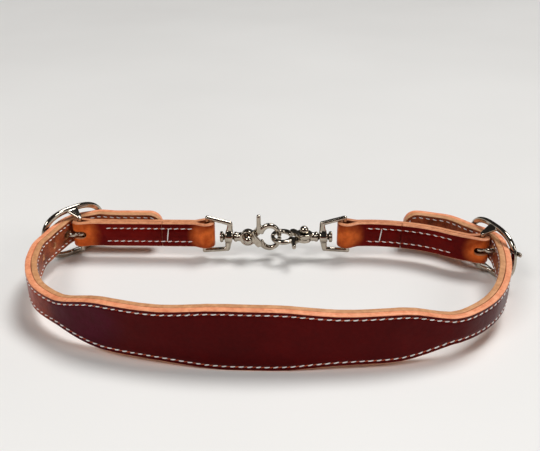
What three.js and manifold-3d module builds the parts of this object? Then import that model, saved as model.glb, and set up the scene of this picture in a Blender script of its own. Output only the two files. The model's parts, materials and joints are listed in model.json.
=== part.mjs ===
// A two-layer shaped leather strap with a billet at each end, two buckled tugs and two swivel
// trigger snaps that are clipped to each other. Millimetres, +Z up, X across, Y front to back.

import * as THREE from 'three';
import { mergeVertices } from 'three/addons/utils/BufferGeometryUtils.js';
import Module from 'manifold-3d';

const wasm = await Module();
wasm.setup();

// ---------------------------------------------------------------- driving dimensions

const GAP = 0.3;                    // clearance left between touching pieces
const FAR = 60;                     // beyond any one piece of hardware

const STRAP_WIDTH = 19.05;          // tugs
const BODY_WIDTH = 41.6;            // the shaped body at its middle
const MID_HEIGHT = BODY_WIDTH / 2;  // every piece is centred on this height
const BILLET_WIDTH = 18.4;          // the body's narrow ends
const LAYER = 3.9;                  // each of the two body layers
const HOLE_PITCH = 19.05;           // billet holes
const HOLE_RADIUS = 2.3;
const WORN_HOLE_RADIUS = 2.8;       // the hole in use, which is also drawn out lengthways
const HOLE_STRETCH = 1.6;
const HOLES_EACH_SIDE = 2;          // spare holes on each side of the one in use
const CUTTER_REACH = 12;            // half length of the cutters for holes and slots
const HOLE_SIDES = 8;
const TIP_FLAT = 2;                 // half height of the blunt end of a billet's round tip
const SEAM_INSET = 2.8;             // stitch row to leather edge on the body
const SEAM_TIP_HEIGHT = 1.6;        // the two rows end this far above and below a tip's middle
const THREAD = 0.6;                 // thread diameter
const THREAD_HOLE_RADIUS = 0.57;
const THREAD_GAP = 0.15;            // thread to leather

const TUG_LAYER = 3.7;              // one thickness of a tug's folded strip
const TUG_SEAM_INSET = 4.3;         // stitch row to leather edge on a tug
const FOLD_SPREAD = 9;              // a tug's two runs close up this far from a fold's axis
const FOLD_STEPS = 8;
const SEAM_TO_BUCKLE_STEPS = 12;
const OUTER_RUN_STEPS = 20;
const SNAP_TO_SEAM_STEPS = 8;
const TUG_ROW_STEPS = 13;

const FRAME_LENGTH = 54.6;
const FRAME_HEIGHT = 39.4;          // before its foot is flattened
const FRAME_FOOT = 19.6;            // flattened foot below the frame's middle
const FRAME_SQUARENESS = 2.6;       // exponent of the oval, where 2 is an ellipse
const FRAME_RIM = 4.4;              // rim width in the frame's plane
const FRAME_THICKNESS = 3.2;
const RIM_EDGE = 0.8;               // taken off the rim's edges
const OVAL_STEPS = 52;
const ARM_HALF_WIDTH = 5.5;         // an arm's half width where it leaves the rim
const ARM_INTO_RIM = 0.8;
const ARM_THICKNESS = 2.6;
const ARM_HEIGHT = 17;              // where an arm leaves the rim, above the frame's middle
const ARM_LEAN = 4.4;               // how much nearer to the middle it meets the bar
const ARM_PAST_BAR = 0.6;
const BAR_DROP = 9.6;               // bar axis below the frame's mid plane
const BAR_RADIUS = 1.6;
const BAR_REACH = 13.6;             // half length of the bar
const FOLD_PLAY = 0.4;              // buckle bar to the fold of leather round it
const BILLET_OUT = 1.2;             // billet's middle outside the frame's, over the bar
const BILLET_BEND = 20;             // radius of the billet's bend over the bar
const BILLET_SLOPE = 25;            // degrees that it falls away at on both sides of that bend
const BEND_POINTS = [20, 14, 7.5, 0, -7.5, -14, -20];
const HOLE_IN_USE = 10.8;           // bar to the billet hole that the tongue is through
const TONGUE_THICKNESS = 2;
const TONGUE_HEIGHT = 3.4;
const TONGUE_TIP_HEIGHT = 2.04;
const TONGUE_PLAY = 0.8;            // bar to the tongue's curl
const TONGUE_CURL = 1.6;            // wall of that curl
const SLOT_LENGTH = 14.6;           // slot through a tug's buckle fold for the tongue
const SLOT_HEIGHT = 6;
const SLOT_PAST_BAR = 4.9;          // how far the slot runs up the tug from the bar

const EYE_LENGTH = 19.5;            // strap bar axis to the far face of the swivel band
const EYE_BAR_RADIUS = 1.5;
const EYE_THICKNESS = 2.8;
const EYE_BAR_END = 15;             // half height of the eye at its strap bar
const EYE_BAND_END = 12;            // half height of the eye at its swivel band
const EYE_BAND = 4.8;               // band that the stem passes through
const EYE_BOSS_RADIUS = 5.1;        // round the stem bore
const EYE_SIDE = 2.8;               // width of the two sides
const EYE_CORNER = 1.2;
const EYE_PLAY = 1.6;               // strap bar to the fold of leather round it
const EYE_TILT = 6;                 // degrees that an eye hangs down in its fold
const EYE_DROP = 0.6;               // an eye's middle below the strap's
const STEM_RADIUS = 2.2;            // swivel stem
const STEM_BORE = 3.1;              // loose, so that the stem stays level in a hanging eye
const STEM_HEAD_FACE = 12.9;        // strap bar axis to the stem head's bearing face
const STEM_HEAD = 2.6;              // thickness of the stem's head
const STEM_HEAD_RADIUS = 4.2;
const NECK_FROM = 20.6;
const NECK_TO = 27;
const NECK_RADIUS = 3.7;
const PIVOT_AT = 31.2;              // strap bar axis to trigger pivot
const RING_AT = 47;                 // strap bar axis to the middle of the jaws
const SNAP_REACH = 56.2;            // strap bar axis to the nose
const JAW_HEIGHT = 22;
const JAW_WIRE = 3.4;
const JAW_FROM = 0.03;              // angles round the ring, from the nose, in radians
const JAW_OUTER_TO = 2.75;
const JAW_INNER_TO = 2.95;
const JAW_STEPS = 14;
const BOSS_RADIUS = 6.1;
const TRIGGER_BOSS_RADIUS = 5.4;
const CHEEK = 3.1;                  // each of the two plates that meet at the pivot
const CHEEK_FROM = 0.35;            // angles of the disc round the pivot, in radians
const CHEEK_SWEEP = Math.PI * 2 - 1.15;
const CHEEK_STEPS = 20;
const CHEEK_ARM = [[8.2, 7.4], [5.6, 5.2], [6.2, 1.4]];   // before the ring's middle, and up
const BESIDE_CHEEKS = 6;            // a height beside the pivot that clears both cheeks
const RIVET_RADIUS = 1.5;
const BALL_RADIUS = 3.4;
const BALL_STAND = 0.55;            // share of that radius that the ball's middle stands off
const TAIL_RADIUS = 2.7;
const TAIL_THICKNESS = 1.1;
const POCKET_RADIUS = 4.4;          // the trigger's hollow for its spring
const POCKET_DEPTH = 2;
const SPRING_RADIUS = 3.1;
const SPRING_WIRE = 0.66;
const SPRING_FROM = 0.25;           // half turns
const SPRING_TURN = 3.5;
const SPRING_START = 0.55;
const SPRING_RISE = 1.1;
const LEVER_PAST_PIVOT = 7.9;
const LEVER_HALF = 1.5;
const LEVER_ROOT = 4.6;
const LEVER_TOP = 18;               // lever tip above the snap's axis

const CLOSURE_Y = 140.5;            // the line that both snaps lie on
const CLOSURE_HEIGHT = 18;
const LEFT_EYE_X = -47.5;
const RIGHT_EYE_X = 56.5;

// Buckle places in plan: the middle of the frame and its turn, which leaves its +Y side outwards,
// the way its tongue points along its X axis, and how high the tongue lies and rises.
const LEFT_BUCKLE = { x: -147.5, y: 149, turn: 47, towards: -1, lift: 0.9, tilt: 0 };
const RIGHT_BUCKLE = { x: 159.3, y: 119.9, turn: -69, towards: 1, lift: 1.2, tilt: 12 };

// Middle line of the body strap in plan. The buckles set the stretch through each of them.
const LEFT_TAIL = [[-82, 157.3], [-100, 157.8], [-117, 158]];
const BODY_FRONT = [
  [-159.4, 119], [-161.9, 108], [-161.6, 96], [-160, 83], [-154.8, 66], [-147.6, 52.2], [-137.2, 41.2],
  [-123, 30.6], [-106.6, 22.6], [-90.5, 16.5], [-66, 10], [-36, 6], [0, 4.1],
  [39, 4.3], [68, 6.6], [85, 9.6], [100, 12.6], [114.5, 17.2], [128.6, 27.2],
  [138, 37.4], [146.2, 50.5], [153, 66.5], [157.8, 82],
];
const RIGHT_TAIL = [[134, 149.9], [124, 153.9], [112.5, 157.6], [102, 158]];
const BODY_CENTRE_X = -13;          // widest place of the body

// Width of the body by distance along the strap from its widest place.
const BODY_PROFILE = [
  [0, BODY_WIDTH], [13, BODY_WIDTH], [24, 40.7], [33, 38.8], [43, 36.6], [52, 35], [64, 34.2],
  [78, 34.2], [90, 33.7], [98.5, 31.2], [106, 27.4], [115, 22.4], [122, 19.2], [130, BILLET_WIDTH],
];

const LEFT_TUG_MIDDLE = [[-128, 142.2], [-90, 141.4]];
const RIGHT_TUG_MIDDLE = [
  [141.5, 118.4], [132, 123], [121, 129.6], [109.5, 134.6], [98, 137.9], [86, 140.2], [73, 141.2],
];
const LEFT_TUG_SEAM = 61;           // buckle bar to the butted ends of the strip
const RIGHT_TUG_SEAM = 58;
const TUG_ROW = [19, 84];           // stitch rows, from the buckle bar

// ---------------------------------------------------------------- materials

const leather = (color) => new THREE.MeshStandardMaterial({ color, roughness: 0.38, metalness: 0 });
const OUTER_LEATHER = leather(0x4a0f0c);
const LINING_LEATHER = leather(0x8a4526);
const TUG_LEATHER = leather(0x5a140d);
const STEEL = new THREE.MeshStandardMaterial({ color: 0xc9c8c4, roughness: 0.16, metalness: 1 });
const SPRING_STEEL = new THREE.MeshStandardMaterial({ color: 0x9a9a98, roughness: 0.3, metalness: 1 });
const WHITE_THREAD = new THREE.MeshStandardMaterial({ color: 0xeee6dc, roughness: 0.8, metalness: 0 });

// ---------------------------------------------------------------- solids and meshes

function toSolid(geometry) {
  const bare = geometry.clone();
  bare.deleteAttribute('normal');
  bare.deleteAttribute('uv');
  const merged = mergeVertices(bare, 1e-4);
  return new wasm.Manifold(new wasm.Mesh({
    numProp: 3,
    vertProperties: new Float32Array(merged.attributes.position.array),
    triVerts: new Uint32Array(merged.index.array),
  }));
}

function toGeometry(solid) {
  const mesh = solid.getMesh();
  const geometry = new THREE.BufferGeometry();
  geometry.setAttribute('position', new THREE.BufferAttribute(mesh.vertProperties, 3));
  geometry.setIndex(new THREE.BufferAttribute(mesh.triVerts, 1));
  return geometry;
}

function joined(...geometries) {
  return geometries.map(toSolid).reduce((whole, piece) => whole.add(piece));
}

function without(solid, ...geometries) {
  return geometries.map(toSolid).reduce((whole, piece) => whole.subtract(piece), solid);
}

function node(name, geometry, material) {
  const mesh = new THREE.Mesh(geometry, material);
  mesh.name = name;
  return mesh;
}

// A cylinder between two points.
function rod(from, to, radius, sides = 12) {
  const start = new THREE.Vector3(...from);
  const along = new THREE.Vector3(...to).sub(start);
  const geometry = new THREE.CylinderGeometry(radius, radius, along.length(), sides);
  const turn = new THREE.Quaternion().setFromUnitVectors(
    new THREE.Vector3(0, 1, 0), along.clone().normalize());
  geometry.applyQuaternion(turn);
  geometry.translate(...start.addScaledVector(along, 0.5).toArray());
  return geometry;
}

function block(x0, x1, y0, y1, z0, z1) {
  const geometry = new THREE.BoxGeometry(x1 - x0, y1 - y0, z1 - z0);
  geometry.translate((x0 + x1) / 2, (y0 + y1) / 2, (z0 + z1) / 2);
  return geometry;
}

// A shape drawn in X and Z, given thickness from y0 to y1, with its edges taken off if asked.
function plate(shape, y0, y1, edge = 0) {
  const geometry = new THREE.ExtrudeGeometry(shape, {
    depth: y1 - y0 - 2 * edge, bevelEnabled: edge > 0, bevelSegments: 1,
    bevelThickness: edge, bevelSize: edge, bevelOffset: -edge,
  });
  geometry.rotateX(Math.PI / 2);
  geometry.translate(0, y1 - edge, 0);
  return geometry;
}

// ---------------------------------------------------------------- strips along a route in plan

// Level vector square to the route at each point, mitred so that a strip keeps its thickness.
function sideVectors(points) {
  const sides = [];
  for (let i = 0; i + 1 < points.length; i += 1) {
    const dx = points[i + 1].x - points[i].x;
    const dy = points[i + 1].y - points[i].y;
    const length = Math.hypot(dx, dy);
    sides.push({ x: dy / length, y: -dx / length });
  }
  return points.map((_, i) => {
    const before = sides[Math.max(i - 1, 0)];
    const after = sides[Math.min(i, sides.length - 1)];
    const share = 1 + before.x * after.x + before.y * after.y;
    return { x: (before.x + after.x) / share, y: (before.y + after.y) / share };
  });
}

// Sweeps a section along a route. section(i) lists [sideways, up] corners, up first then out.
function sweep(points, section) {
  const positions = [];
  const index = [];
  const vectors = sideVectors(points);
  const corners = section(0).length;
  points.forEach((point, i) => {
    section(i).forEach(([out, up]) => {
      positions.push(point.x + vectors[i].x * out, point.y + vectors[i].y * out, point.z + up);
    });
  });
  for (let i = 0; i + 1 < points.length; i += 1) {
    for (let k = 0; k < corners; k += 1) {
      const a = i * corners + k;
      const b = i * corners + ((k + 1) % corners);
      index.push(a, b, b + corners, a, b + corners, a + corners);
    }
  }
  const last = (points.length - 1) * corners;
  for (let k = 1; k + 1 < corners; k += 1) {
    index.push(0, k + 1, k, last, last + k, last + k + 1);
  }
  const geometry = new THREE.BufferGeometry();
  geometry.setAttribute('position', new THREE.Float32BufferAttribute(positions, 3));
  geometry.setIndex(index);
  return geometry;
}

function bandSection(inner, outer, halfWidth) {
  return [[inner, -halfWidth], [inner, halfWidth], [outer, halfWidth], [outer, -halfWidth]];
}

function threadSection() {
  const r = THREAD / 2;
  return [[-r, -r], [-r, r], [r, 0]];
}

function routeCurve(route) {
  return new THREE.CatmullRomCurve3(
    route.map(([x, y]) => new THREE.Vector3(x, y, MID_HEIGHT)), false, 'centripetal');
}

// ---------------------------------------------------------------- the body strap

// A point of a buckle's own frame, along and outwards, brought into the plan.
function inPlan(place, along, out) {
  const turn = THREE.MathUtils.degToRad(place.turn);
  return [
    place.x + along * Math.cos(turn) - out * Math.sin(turn),
    place.y + along * Math.sin(turn) + out * Math.cos(turn),
  ];
}

// The billet's bend through a buckle, inside the rim at both ends and outside the bar.
function billetBend(place, alongs) {
  const slope = THREE.MathUtils.degToRad(BILLET_SLOPE);
  const bendEnd = BILLET_BEND * Math.sin(slope);
  return alongs.map((along) => {
    const inBend = Math.min(Math.abs(along), bendEnd);
    const straight = Math.abs(along) - inBend;
    const fall = BILLET_BEND - Math.sqrt(BILLET_BEND ** 2 - inBend ** 2) + straight * Math.tan(slope);
    return inPlan(place, along, BILLET_OUT - fall);
  });
}

const bodyCurve = routeCurve([
  ...LEFT_TAIL,
  ...billetBend(LEFT_BUCKLE, BEND_POINTS),
  ...BODY_FRONT,
  ...billetBend(RIGHT_BUCKLE, BEND_POINTS),
  ...RIGHT_TAIL,
]);
bodyCurve.arcLengthDivisions = 1600;
const bodyLength = bodyCurve.getLength();

function distanceAtX(x) {
  let best = 0;
  let bestMiss = Infinity;
  for (let u = 0.3; u < 0.7; u += 0.0005) {
    const miss = Math.abs(bodyCurve.getPointAt(u).x - x);
    if (miss < bestMiss) {
      best = u;
      bestMiss = miss;
    }
  }
  return best * bodyLength;
}

const bodyMiddle = distanceAtX(BODY_CENTRE_X);

function bodyHalfWidth(distance) {
  const fromMiddle = Math.abs(distance - bodyMiddle);
  let width = BILLET_WIDTH;
  for (let i = 0; i + 1 < BODY_PROFILE.length; i += 1) {
    const [d0, w0] = BODY_PROFILE[i];
    const [d1, w1] = BODY_PROFILE[i + 1];
    if (fromMiddle >= d0 && fromMiddle <= d1) {
      width = w0 + ((w1 - w0) * (fromMiddle - d0)) / (d1 - d0);
    }
  }
  const fromTip = Math.min(distance, bodyLength - distance);
  const tipRadius = BILLET_WIDTH / 2;
  if (fromTip >= tipRadius) return width / 2;
  return Math.max(Math.sqrt(tipRadius ** 2 - (tipRadius - fromTip) ** 2), TIP_FLAT);
}

// Stations along the strap: even steps, with closer ones round each billet's tip.
function bodyStations() {
  const tipRadius = BILLET_WIDTH / 2;
  const tip = [0, 0.6, 1.8, 3.6, 6, tipRadius];
  const step = 6;
  const stations = [...tip];
  for (let d = tipRadius + step; d < bodyLength - tipRadius - 1; d += step) {
    stations.push(d);
  }
  return [...stations, ...tip.map((d) => bodyLength - d).reverse()];
}

function pointOnBody(distance, up = 0) {
  const point = bodyCurve.getPointAt(THREE.MathUtils.clamp(distance / bodyLength, 0, 1));
  point.z += up;
  return point;
}

function nearestDistance([x, y]) {
  let best = 0;
  let bestMiss = Infinity;
  for (let d = 0; d <= bodyLength; d += 0.5) {
    const point = pointOnBody(d);
    const miss = Math.hypot(point.x - x, point.y - y);
    if (miss < bestMiss) {
      best = d;
      bestMiss = miss;
    }
  }
  return best;
}

// A cutter square through the strap.
function acrossBody(distance, radius) {
  const point = pointOnBody(distance);
  const tangent = bodyCurve.getTangentAt(distance / bodyLength);
  const out = new THREE.Vector3(tangent.y, -tangent.x, 0).multiplyScalar(CUTTER_REACH);
  return rod(point.clone().sub(out).toArray(), point.clone().add(out).toArray(), radius, HOLE_SIDES);
}

// Spare holes on each side of the one in use, and that one drawn out by the slanting tongue.
function billetHoles(place) {
  const holes = [];
  const inUse = (along) => nearestDistance(billetBend(place, [along * place.towards])[0]);
  const middle = inUse(HOLE_IN_USE);
  for (let i = -HOLES_EACH_SIDE; i <= HOLES_EACH_SIDE; i += 1) {
    if (i !== 0) holes.push(acrossBody(middle + i * HOLE_PITCH, HOLE_RADIUS));
  }
  const rise = Math.tan(THREE.MathUtils.degToRad(place.tilt));
  [-HOLE_STRETCH, 0, HOLE_STRETCH].forEach((stretch) => {
    const along = HOLE_IN_USE + stretch;
    const hole = acrossBody(inUse(along), WORN_HOLE_RADIUS);
    hole.translate(0, 0, tongueHeight(place) + along * rise);
    holes.push(hole);
  });
  return holes;
}

function seamTipHoles() {
  const holes = [];
  [SEAM_INSET, bodyLength - SEAM_INSET].forEach((distance) => {
    [-1, 1].forEach((side) => {
      const hole = acrossBody(distance, THREAD_HOLE_RADIUS);
      hole.translate(0, 0, side * SEAM_TIP_HEIGHT);
      holes.push(hole);
    });
  });
  return holes;
}

function bodyLayer(inner, outer, holes) {
  const stations = bodyStations();
  const points = stations.map((d) => pointOnBody(d));
  const band = sweep(points, (i) => bandSection(inner, outer, bodyHalfWidth(stations[i])));
  return toGeometry(without(toSolid(band), ...holes));
}

// One seam: out along the outer face, through the leather and back along the lining.
function seamThread(side) {
  const face = LAYER + GAP / 2 + THREAD_GAP + THREAD / 2;
  const pastTip = SEAM_INSET + 0.4;
  const stations = bodyStations().filter((d) => d > pastTip && d < bodyLength - pastTip);
  const run = [SEAM_INSET, ...stations, bodyLength - SEAM_INSET];
  const height = (d) => side * Math.max(bodyHalfWidth(d) - SEAM_INSET, SEAM_TIP_HEIGHT);
  const along = run.map((d) => ({ d, up: height(d) }));
  along[0].up = side * SEAM_TIP_HEIGHT;
  along[along.length - 1].up = side * SEAM_TIP_HEIGHT;
  const vectors = sideVectors(run.map((d) => pointOnBody(d)));
  const place = (i, out) => {
    const point = pointOnBody(along[i].d, along[i].up);
    point.x += vectors[i].x * out;
    point.y += vectors[i].y * out;
    return point;
  };
  const front = run.map((_, i) => place(i, face));
  const back = run.map((_, i) => place(i, -face)).reverse();
  return sweep([...front, ...back], threadSection);
}

// ---------------------------------------------------------------- tugs

// The folded strip's middle line: from its butted end along the inner run, round the buckle
// bar, back along the outer run, round the snap's bar and up to the butted end again.
function tugLoop(route, seamDistance, innerSide) {
  const curve = routeCurve(route);
  const length = curve.getLength();
  const flat = (TUG_LAYER + GAP) / 2;
  const buckleFold = BAR_RADIUS + FOLD_PLAY + TUG_LAYER / 2;
  const snapFold = EYE_BAR_RADIUS + EYE_PLAY + TUG_LAYER / 2;
  const half = (d) => {
    const nearBuckle = Math.max(1 - d / FOLD_SPREAD, 0);
    const nearSnap = Math.max(1 - (length - d) / FOLD_SPREAD, 0);
    const ease = (t) => t * t * (3 - 2 * t);
    return flat + (buckleFold - flat) * ease(nearBuckle) + (snapFold - flat) * ease(nearSnap);
  };
  const place = (d, sign) => {
    const point = curve.getPointAt(d / length);
    const tangent = curve.getTangentAt(d / length);
    point.x += tangent.y * half(d) * sign;
    point.y -= tangent.x * half(d) * sign;
    return point;
  };
  const fold = (d, radius, startSign, forwards) => {
    const centre = curve.getPointAt(d / length);
    const tangent = curve.getTangentAt(d / length).multiplyScalar(forwards);
    const side = new THREE.Vector3(tangent.y, -tangent.x, 0).multiplyScalar(startSign);
    const arc = [];
    for (let k = 1; k < FOLD_STEPS; k += 1) {
      const angle = (k / FOLD_STEPS) * Math.PI;
      arc.push(centre.clone().addScaledVector(side, radius * Math.cos(angle))
        .addScaledVector(tangent, radius * Math.sin(angle)));
    }
    return arc;
  };
  const steps = (from, to, count) => Array.from({ length: count + 1 },
    (_, i) => from + ((to - from) * i) / count);
  return {
    points: [
      ...steps(seamDistance - GAP / 2, 0, SEAM_TO_BUCKLE_STEPS).map((d) => place(d, innerSide)),
      ...fold(0, buckleFold, -innerSide, -1),
      ...steps(0, length, OUTER_RUN_STEPS).map((d) => place(d, -innerSide)),
      ...fold(length, snapFold, -innerSide, 1),
      ...steps(length, seamDistance + GAP / 2, SNAP_TO_SEAM_STEPS).map((d) => place(d, innerSide)),
    ],
    curve,
    length,
  };
}

// The slot through the buckle fold that the tongue works in.
function tongueSlot(curve) {
  const bar = curve.getPointAt(0);
  const tangent = curve.getTangentAt(0);
  const slot = new THREE.BoxGeometry(SLOT_LENGTH, 2 * CUTTER_REACH, SLOT_HEIGHT);
  slot.translate(SLOT_PAST_BAR - SLOT_LENGTH / 2, 0, 0);
  slot.rotateZ(Math.atan2(tangent.y, tangent.x));
  slot.translate(bar.x, bar.y, MID_HEIGHT);
  return slot;
}

function tugThread(loop, side) {
  const up = side * (STRAP_WIDTH / 2 - TUG_SEAM_INSET);
  const face = TUG_LAYER + GAP / 2 + THREAD_GAP + THREAD / 2;
  const place = (d, out) => {
    const point = loop.curve.getPointAt(d / loop.length);
    const tangent = loop.curve.getTangentAt(d / loop.length);
    point.x += tangent.y * out;
    point.y -= tangent.x * out;
    point.z += up;
    return point;
  };
  const run = Array.from({ length: TUG_ROW_STEPS + 1 },
    (_, i) => TUG_ROW[0] + ((TUG_ROW[1] - TUG_ROW[0]) * i) / TUG_ROW_STEPS);
  const front = run.map((d) => place(d, face));
  const back = run.map((d) => place(d, -face)).reverse();
  return sweep([...front, ...back], threadSection);
}

function tugThreadHoles(loop) {
  const holes = [];
  TUG_ROW.forEach((d) => {
    [-1, 1].forEach((side) => {
      const point = loop.curve.getPointAt(d / loop.length);
      const tangent = loop.curve.getTangentAt(d / loop.length);
      const up = MID_HEIGHT + side * (STRAP_WIDTH / 2 - TUG_SEAM_INSET);
      holes.push(rod(
        [point.x - tangent.y * CUTTER_REACH, point.y + tangent.x * CUTTER_REACH, up],
        [point.x + tangent.y * CUTTER_REACH, point.y - tangent.x * CUTTER_REACH, up],
        THREAD_HOLE_RADIUS, HOLE_SIDES));
    });
  });
  return holes;
}

function tugPieces(name, route, seamDistance, innerSide) {
  const loop = tugLoop(route, seamDistance, innerSide);
  const strip = sweep(loop.points,
    () => bandSection(-TUG_LAYER / 2, TUG_LAYER / 2, STRAP_WIDTH / 2));
  const cut = without(toSolid(strip), tongueSlot(loop.curve), ...tugThreadHoles(loop));
  return [
    node(`${name}_tug`, toGeometry(cut), TUG_LEATHER),
    node(`${name}_tug_top_thread`, tugThread(loop, 1), WHITE_THREAD),
    node(`${name}_tug_bottom_thread`, tugThread(loop, -1), WHITE_THREAD),
  ];
}

// ---------------------------------------------------------------- buckles

// In a buckle's own frame X runs along the billet, +Y faces outwards, Z is up and the origin is
// the middle of the oval frame.
function ovalShape(length, height) {
  const points = [];
  const power = 2 / FRAME_SQUARENESS;
  for (let i = 0; i < OVAL_STEPS; i += 1) {
    const angle = (i / OVAL_STEPS) * Math.PI * 2;
    const across = Math.sign(Math.cos(angle)) * Math.abs(Math.cos(angle)) ** power;
    const up = Math.sign(Math.sin(angle)) * Math.abs(Math.sin(angle)) ** power;
    points.push(new THREE.Vector2((across * length) / 2, (up * height) / 2));
  }
  return new THREE.Shape(points);
}

// A three-cornered arm that carries one end of the dropped bar.
function buckleArm(side) {
  const slope = Math.atan2(ARM_LEAN, BAR_DROP);
  const reach = BAR_DROP / Math.cos(slope) + ARM_PAST_BAR;
  const shape = new THREE.Shape([
    new THREE.Vector2(-ARM_HALF_WIDTH, ARM_INTO_RIM), new THREE.Vector2(-BAR_RADIUS, -reach),
    new THREE.Vector2(BAR_RADIUS, -reach), new THREE.Vector2(ARM_HALF_WIDTH, ARM_INTO_RIM),
  ]);
  const arm = new THREE.ExtrudeGeometry(shape, { depth: ARM_THICKNESS, bevelEnabled: false });
  arm.translate(0, 0, -ARM_THICKNESS / 2);
  arm.rotateX(side * slope);
  arm.translate(0, 0, side * ARM_HEIGHT);
  return arm;
}

function buckleFrame() {
  const outline = ovalShape(FRAME_LENGTH, FRAME_HEIGHT);
  outline.holes.push(ovalShape(FRAME_LENGTH - 2 * FRAME_RIM, FRAME_HEIGHT - 2 * FRAME_RIM));
  const rim = plate(outline, -FRAME_THICKNESS / 2, FRAME_THICKNESS / 2, RIM_EDGE);
  const bar = rod([0, -BAR_DROP, -BAR_REACH], [0, -BAR_DROP, BAR_REACH], BAR_RADIUS, 16);
  const solid = joined(rim, bar, buckleArm(1), buckleArm(-1));
  const belowFoot = block(-FAR, FAR, -FAR, FAR, -FAR, -FRAME_FOOT);
  return toGeometry(without(solid, belowFoot));
}

// Height of a tongue's curl above the middle of the strap.
function tongueHeight(place) {
  return FRAME_FOOT - MID_HEIGHT + place.lift;
}

// The tongue's curl round the bar, and its blade through the billet and over the entry rim.
function buckleTongue(place) {
  const halfHeight = TONGUE_HEIGHT / 2;
  const halfThickness = TONGUE_THICKNESS / 2;
  const bore = BAR_RADIUS + TONGUE_PLAY;
  const barAt = [0, -BAR_DROP];
  const curl = rod([...barAt, -halfHeight], [...barAt, halfHeight], bore + TONGUE_CURL, 24);
  const bladePath = [
    [2.9, -9.5], [6.8, -8.6], [9, -5.6], [12.5, 1.9], [13.7, 3.2], [15.5, 3.6], [20, 3.4],
    [26, 3], [29.5, 2.9],
  ];
  const blade = sweep(bladePath.map(([x, y]) => ({ x, y, z: 0 })), (i) => bandSection(
    -halfThickness, halfThickness, i + 1 < bladePath.length ? halfHeight : TONGUE_TIP_HEIGHT / 2));
  const barRoom = rod([...barAt, -TONGUE_HEIGHT], [...barAt, TONGUE_HEIGHT], bore, 24);
  const tongue = toGeometry(without(joined(curl, blade), barRoom));
  tongue.translate(0, BAR_DROP, 0);
  tongue.rotateY(-THREE.MathUtils.degToRad(place.tilt));
  if (place.towards < 0) tongue.rotateY(Math.PI);
  tongue.translate(0, -BAR_DROP, place.lift);
  return tongue;
}

function buckle(name, place) {
  const group = new THREE.Group();
  group.add(node(`${name}_buckle_frame`, buckleFrame(), STEEL));
  group.add(node(`${name}_buckle_tongue`, buckleTongue(place), STEEL));
  group.position.set(place.x, place.y, FRAME_FOOT);
  group.rotation.z = THREE.MathUtils.degToRad(place.turn);
  return group;
}

// ---------------------------------------------------------------- snaps

// A snap lies along X from its strap bar at the origin to its nose. Its jaws open in the XZ
// plane, the lever is on the +Z side and the pivot's ball head is on the -Y side.

function eyeLoop() {
  const halfThickness = EYE_THICKNESS / 2;
  const bandFrom = EYE_LENGTH - EYE_BAND;
  const lowerOutline = [
    [-halfThickness, -EYE_BAR_END + EYE_CORNER], [-0.2, -EYE_BAR_END],
    [EYE_LENGTH - EYE_CORNER, -EYE_BAND_END], [EYE_LENGTH, -EYE_BAND_END + halfThickness],
  ];
  const upperOutline = lowerOutline.map(([x, z]) => [x, -z]).reverse();
  const outline = new THREE.Shape(
    [...lowerOutline, ...upperOutline].map(([x, z]) => new THREE.Vector2(x, z)));
  const windowFrom = EYE_BAR_RADIUS - 0.2;
  const windowAtBar = EYE_BAR_END - EYE_SIDE;
  const windowAtBand = EYE_BAND_END - EYE_SIDE - 0.1;
  outline.holes.push(new THREE.Path([
    new THREE.Vector2(windowFrom, -windowAtBar), new THREE.Vector2(bandFrom, -windowAtBand),
    new THREE.Vector2(bandFrom, windowAtBand), new THREE.Vector2(windowFrom, windowAtBar),
  ]));
  const loop = plate(outline, -halfThickness, halfThickness);
  const barReach = EYE_BAR_END - 2;
  const bar = rod([0, 0, -barReach], [0, 0, barReach], EYE_BAR_RADIUS, 14);
  const boss = rod([bandFrom - 0.6, 0, 0], [EYE_LENGTH + 0.4, 0, 0], EYE_BOSS_RADIUS, 18);
  const stemBore = rod([bandFrom - 5, 0, 0], [EYE_LENGTH + 5, 0, 0], STEM_BORE, 18);
  return toGeometry(without(joined(loop, bar, boss), stemBore));
}

// Half of the jaw ring: the lower half belongs to the body and the upper half to the trigger.
function jawShape(side) {
  const outerX = SNAP_REACH - RING_AT;
  const outerZ = JAW_HEIGHT / 2;
  const innerX = outerX - JAW_WIRE;
  const innerZ = outerZ - JAW_WIRE;
  const points = [];
  const arcPoint = (a, b, angle) => new THREE.Vector2(
    RING_AT + a * Math.cos(angle), side * b * Math.sin(angle));
  const outerStep = (JAW_OUTER_TO - JAW_FROM) / JAW_STEPS;
  const innerStep = (JAW_INNER_TO - JAW_FROM) / JAW_STEPS;
  for (let i = 0; i <= JAW_STEPS; i += 1) {
    points.push(arcPoint(outerX, outerZ, JAW_FROM + outerStep * i));
  }
  for (let i = JAW_STEPS; i >= 0; i -= 1) {
    points.push(arcPoint(innerX, innerZ, JAW_FROM + innerStep * i));
  }
  return new THREE.Shape(side > 0 ? points : points.reverse());
}

// A cheek in outline: most of a disc round the pivot, and an arm out to the jaw ring.
function cheekShape(side) {
  const radius = side > 0 ? TRIGGER_BOSS_RADIUS : BOSS_RADIUS;
  const points = [];
  for (let i = 0; i <= CHEEK_STEPS; i += 1) {
    const angle = CHEEK_FROM + (CHEEK_SWEEP * i) / CHEEK_STEPS;
    points.push(new THREE.Vector2(PIVOT_AT + radius * Math.cos(angle),
      -side * radius * Math.sin(angle)));
  }
  CHEEK_ARM.forEach(([beforeRing, up]) => {
    points.push(new THREE.Vector2(RING_AT - beforeRing, side * up));
  });
  return new THREE.Shape(side > 0 ? points.reverse() : points);
}

// Cutters round the pivot: across it, and for the disc of the other half of the snap.
function rivetBore() {
  return rod([PIVOT_AT, -CUTTER_REACH, 0], [PIVOT_AT, CUTTER_REACH, 0], RIVET_RADIUS + GAP, 14);
}

function roomForDisc(radius, y0, y1) {
  return rod([PIVOT_AT, y0, 0], [PIVOT_AT, y1, 0], radius + GAP, 28);
}

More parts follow.
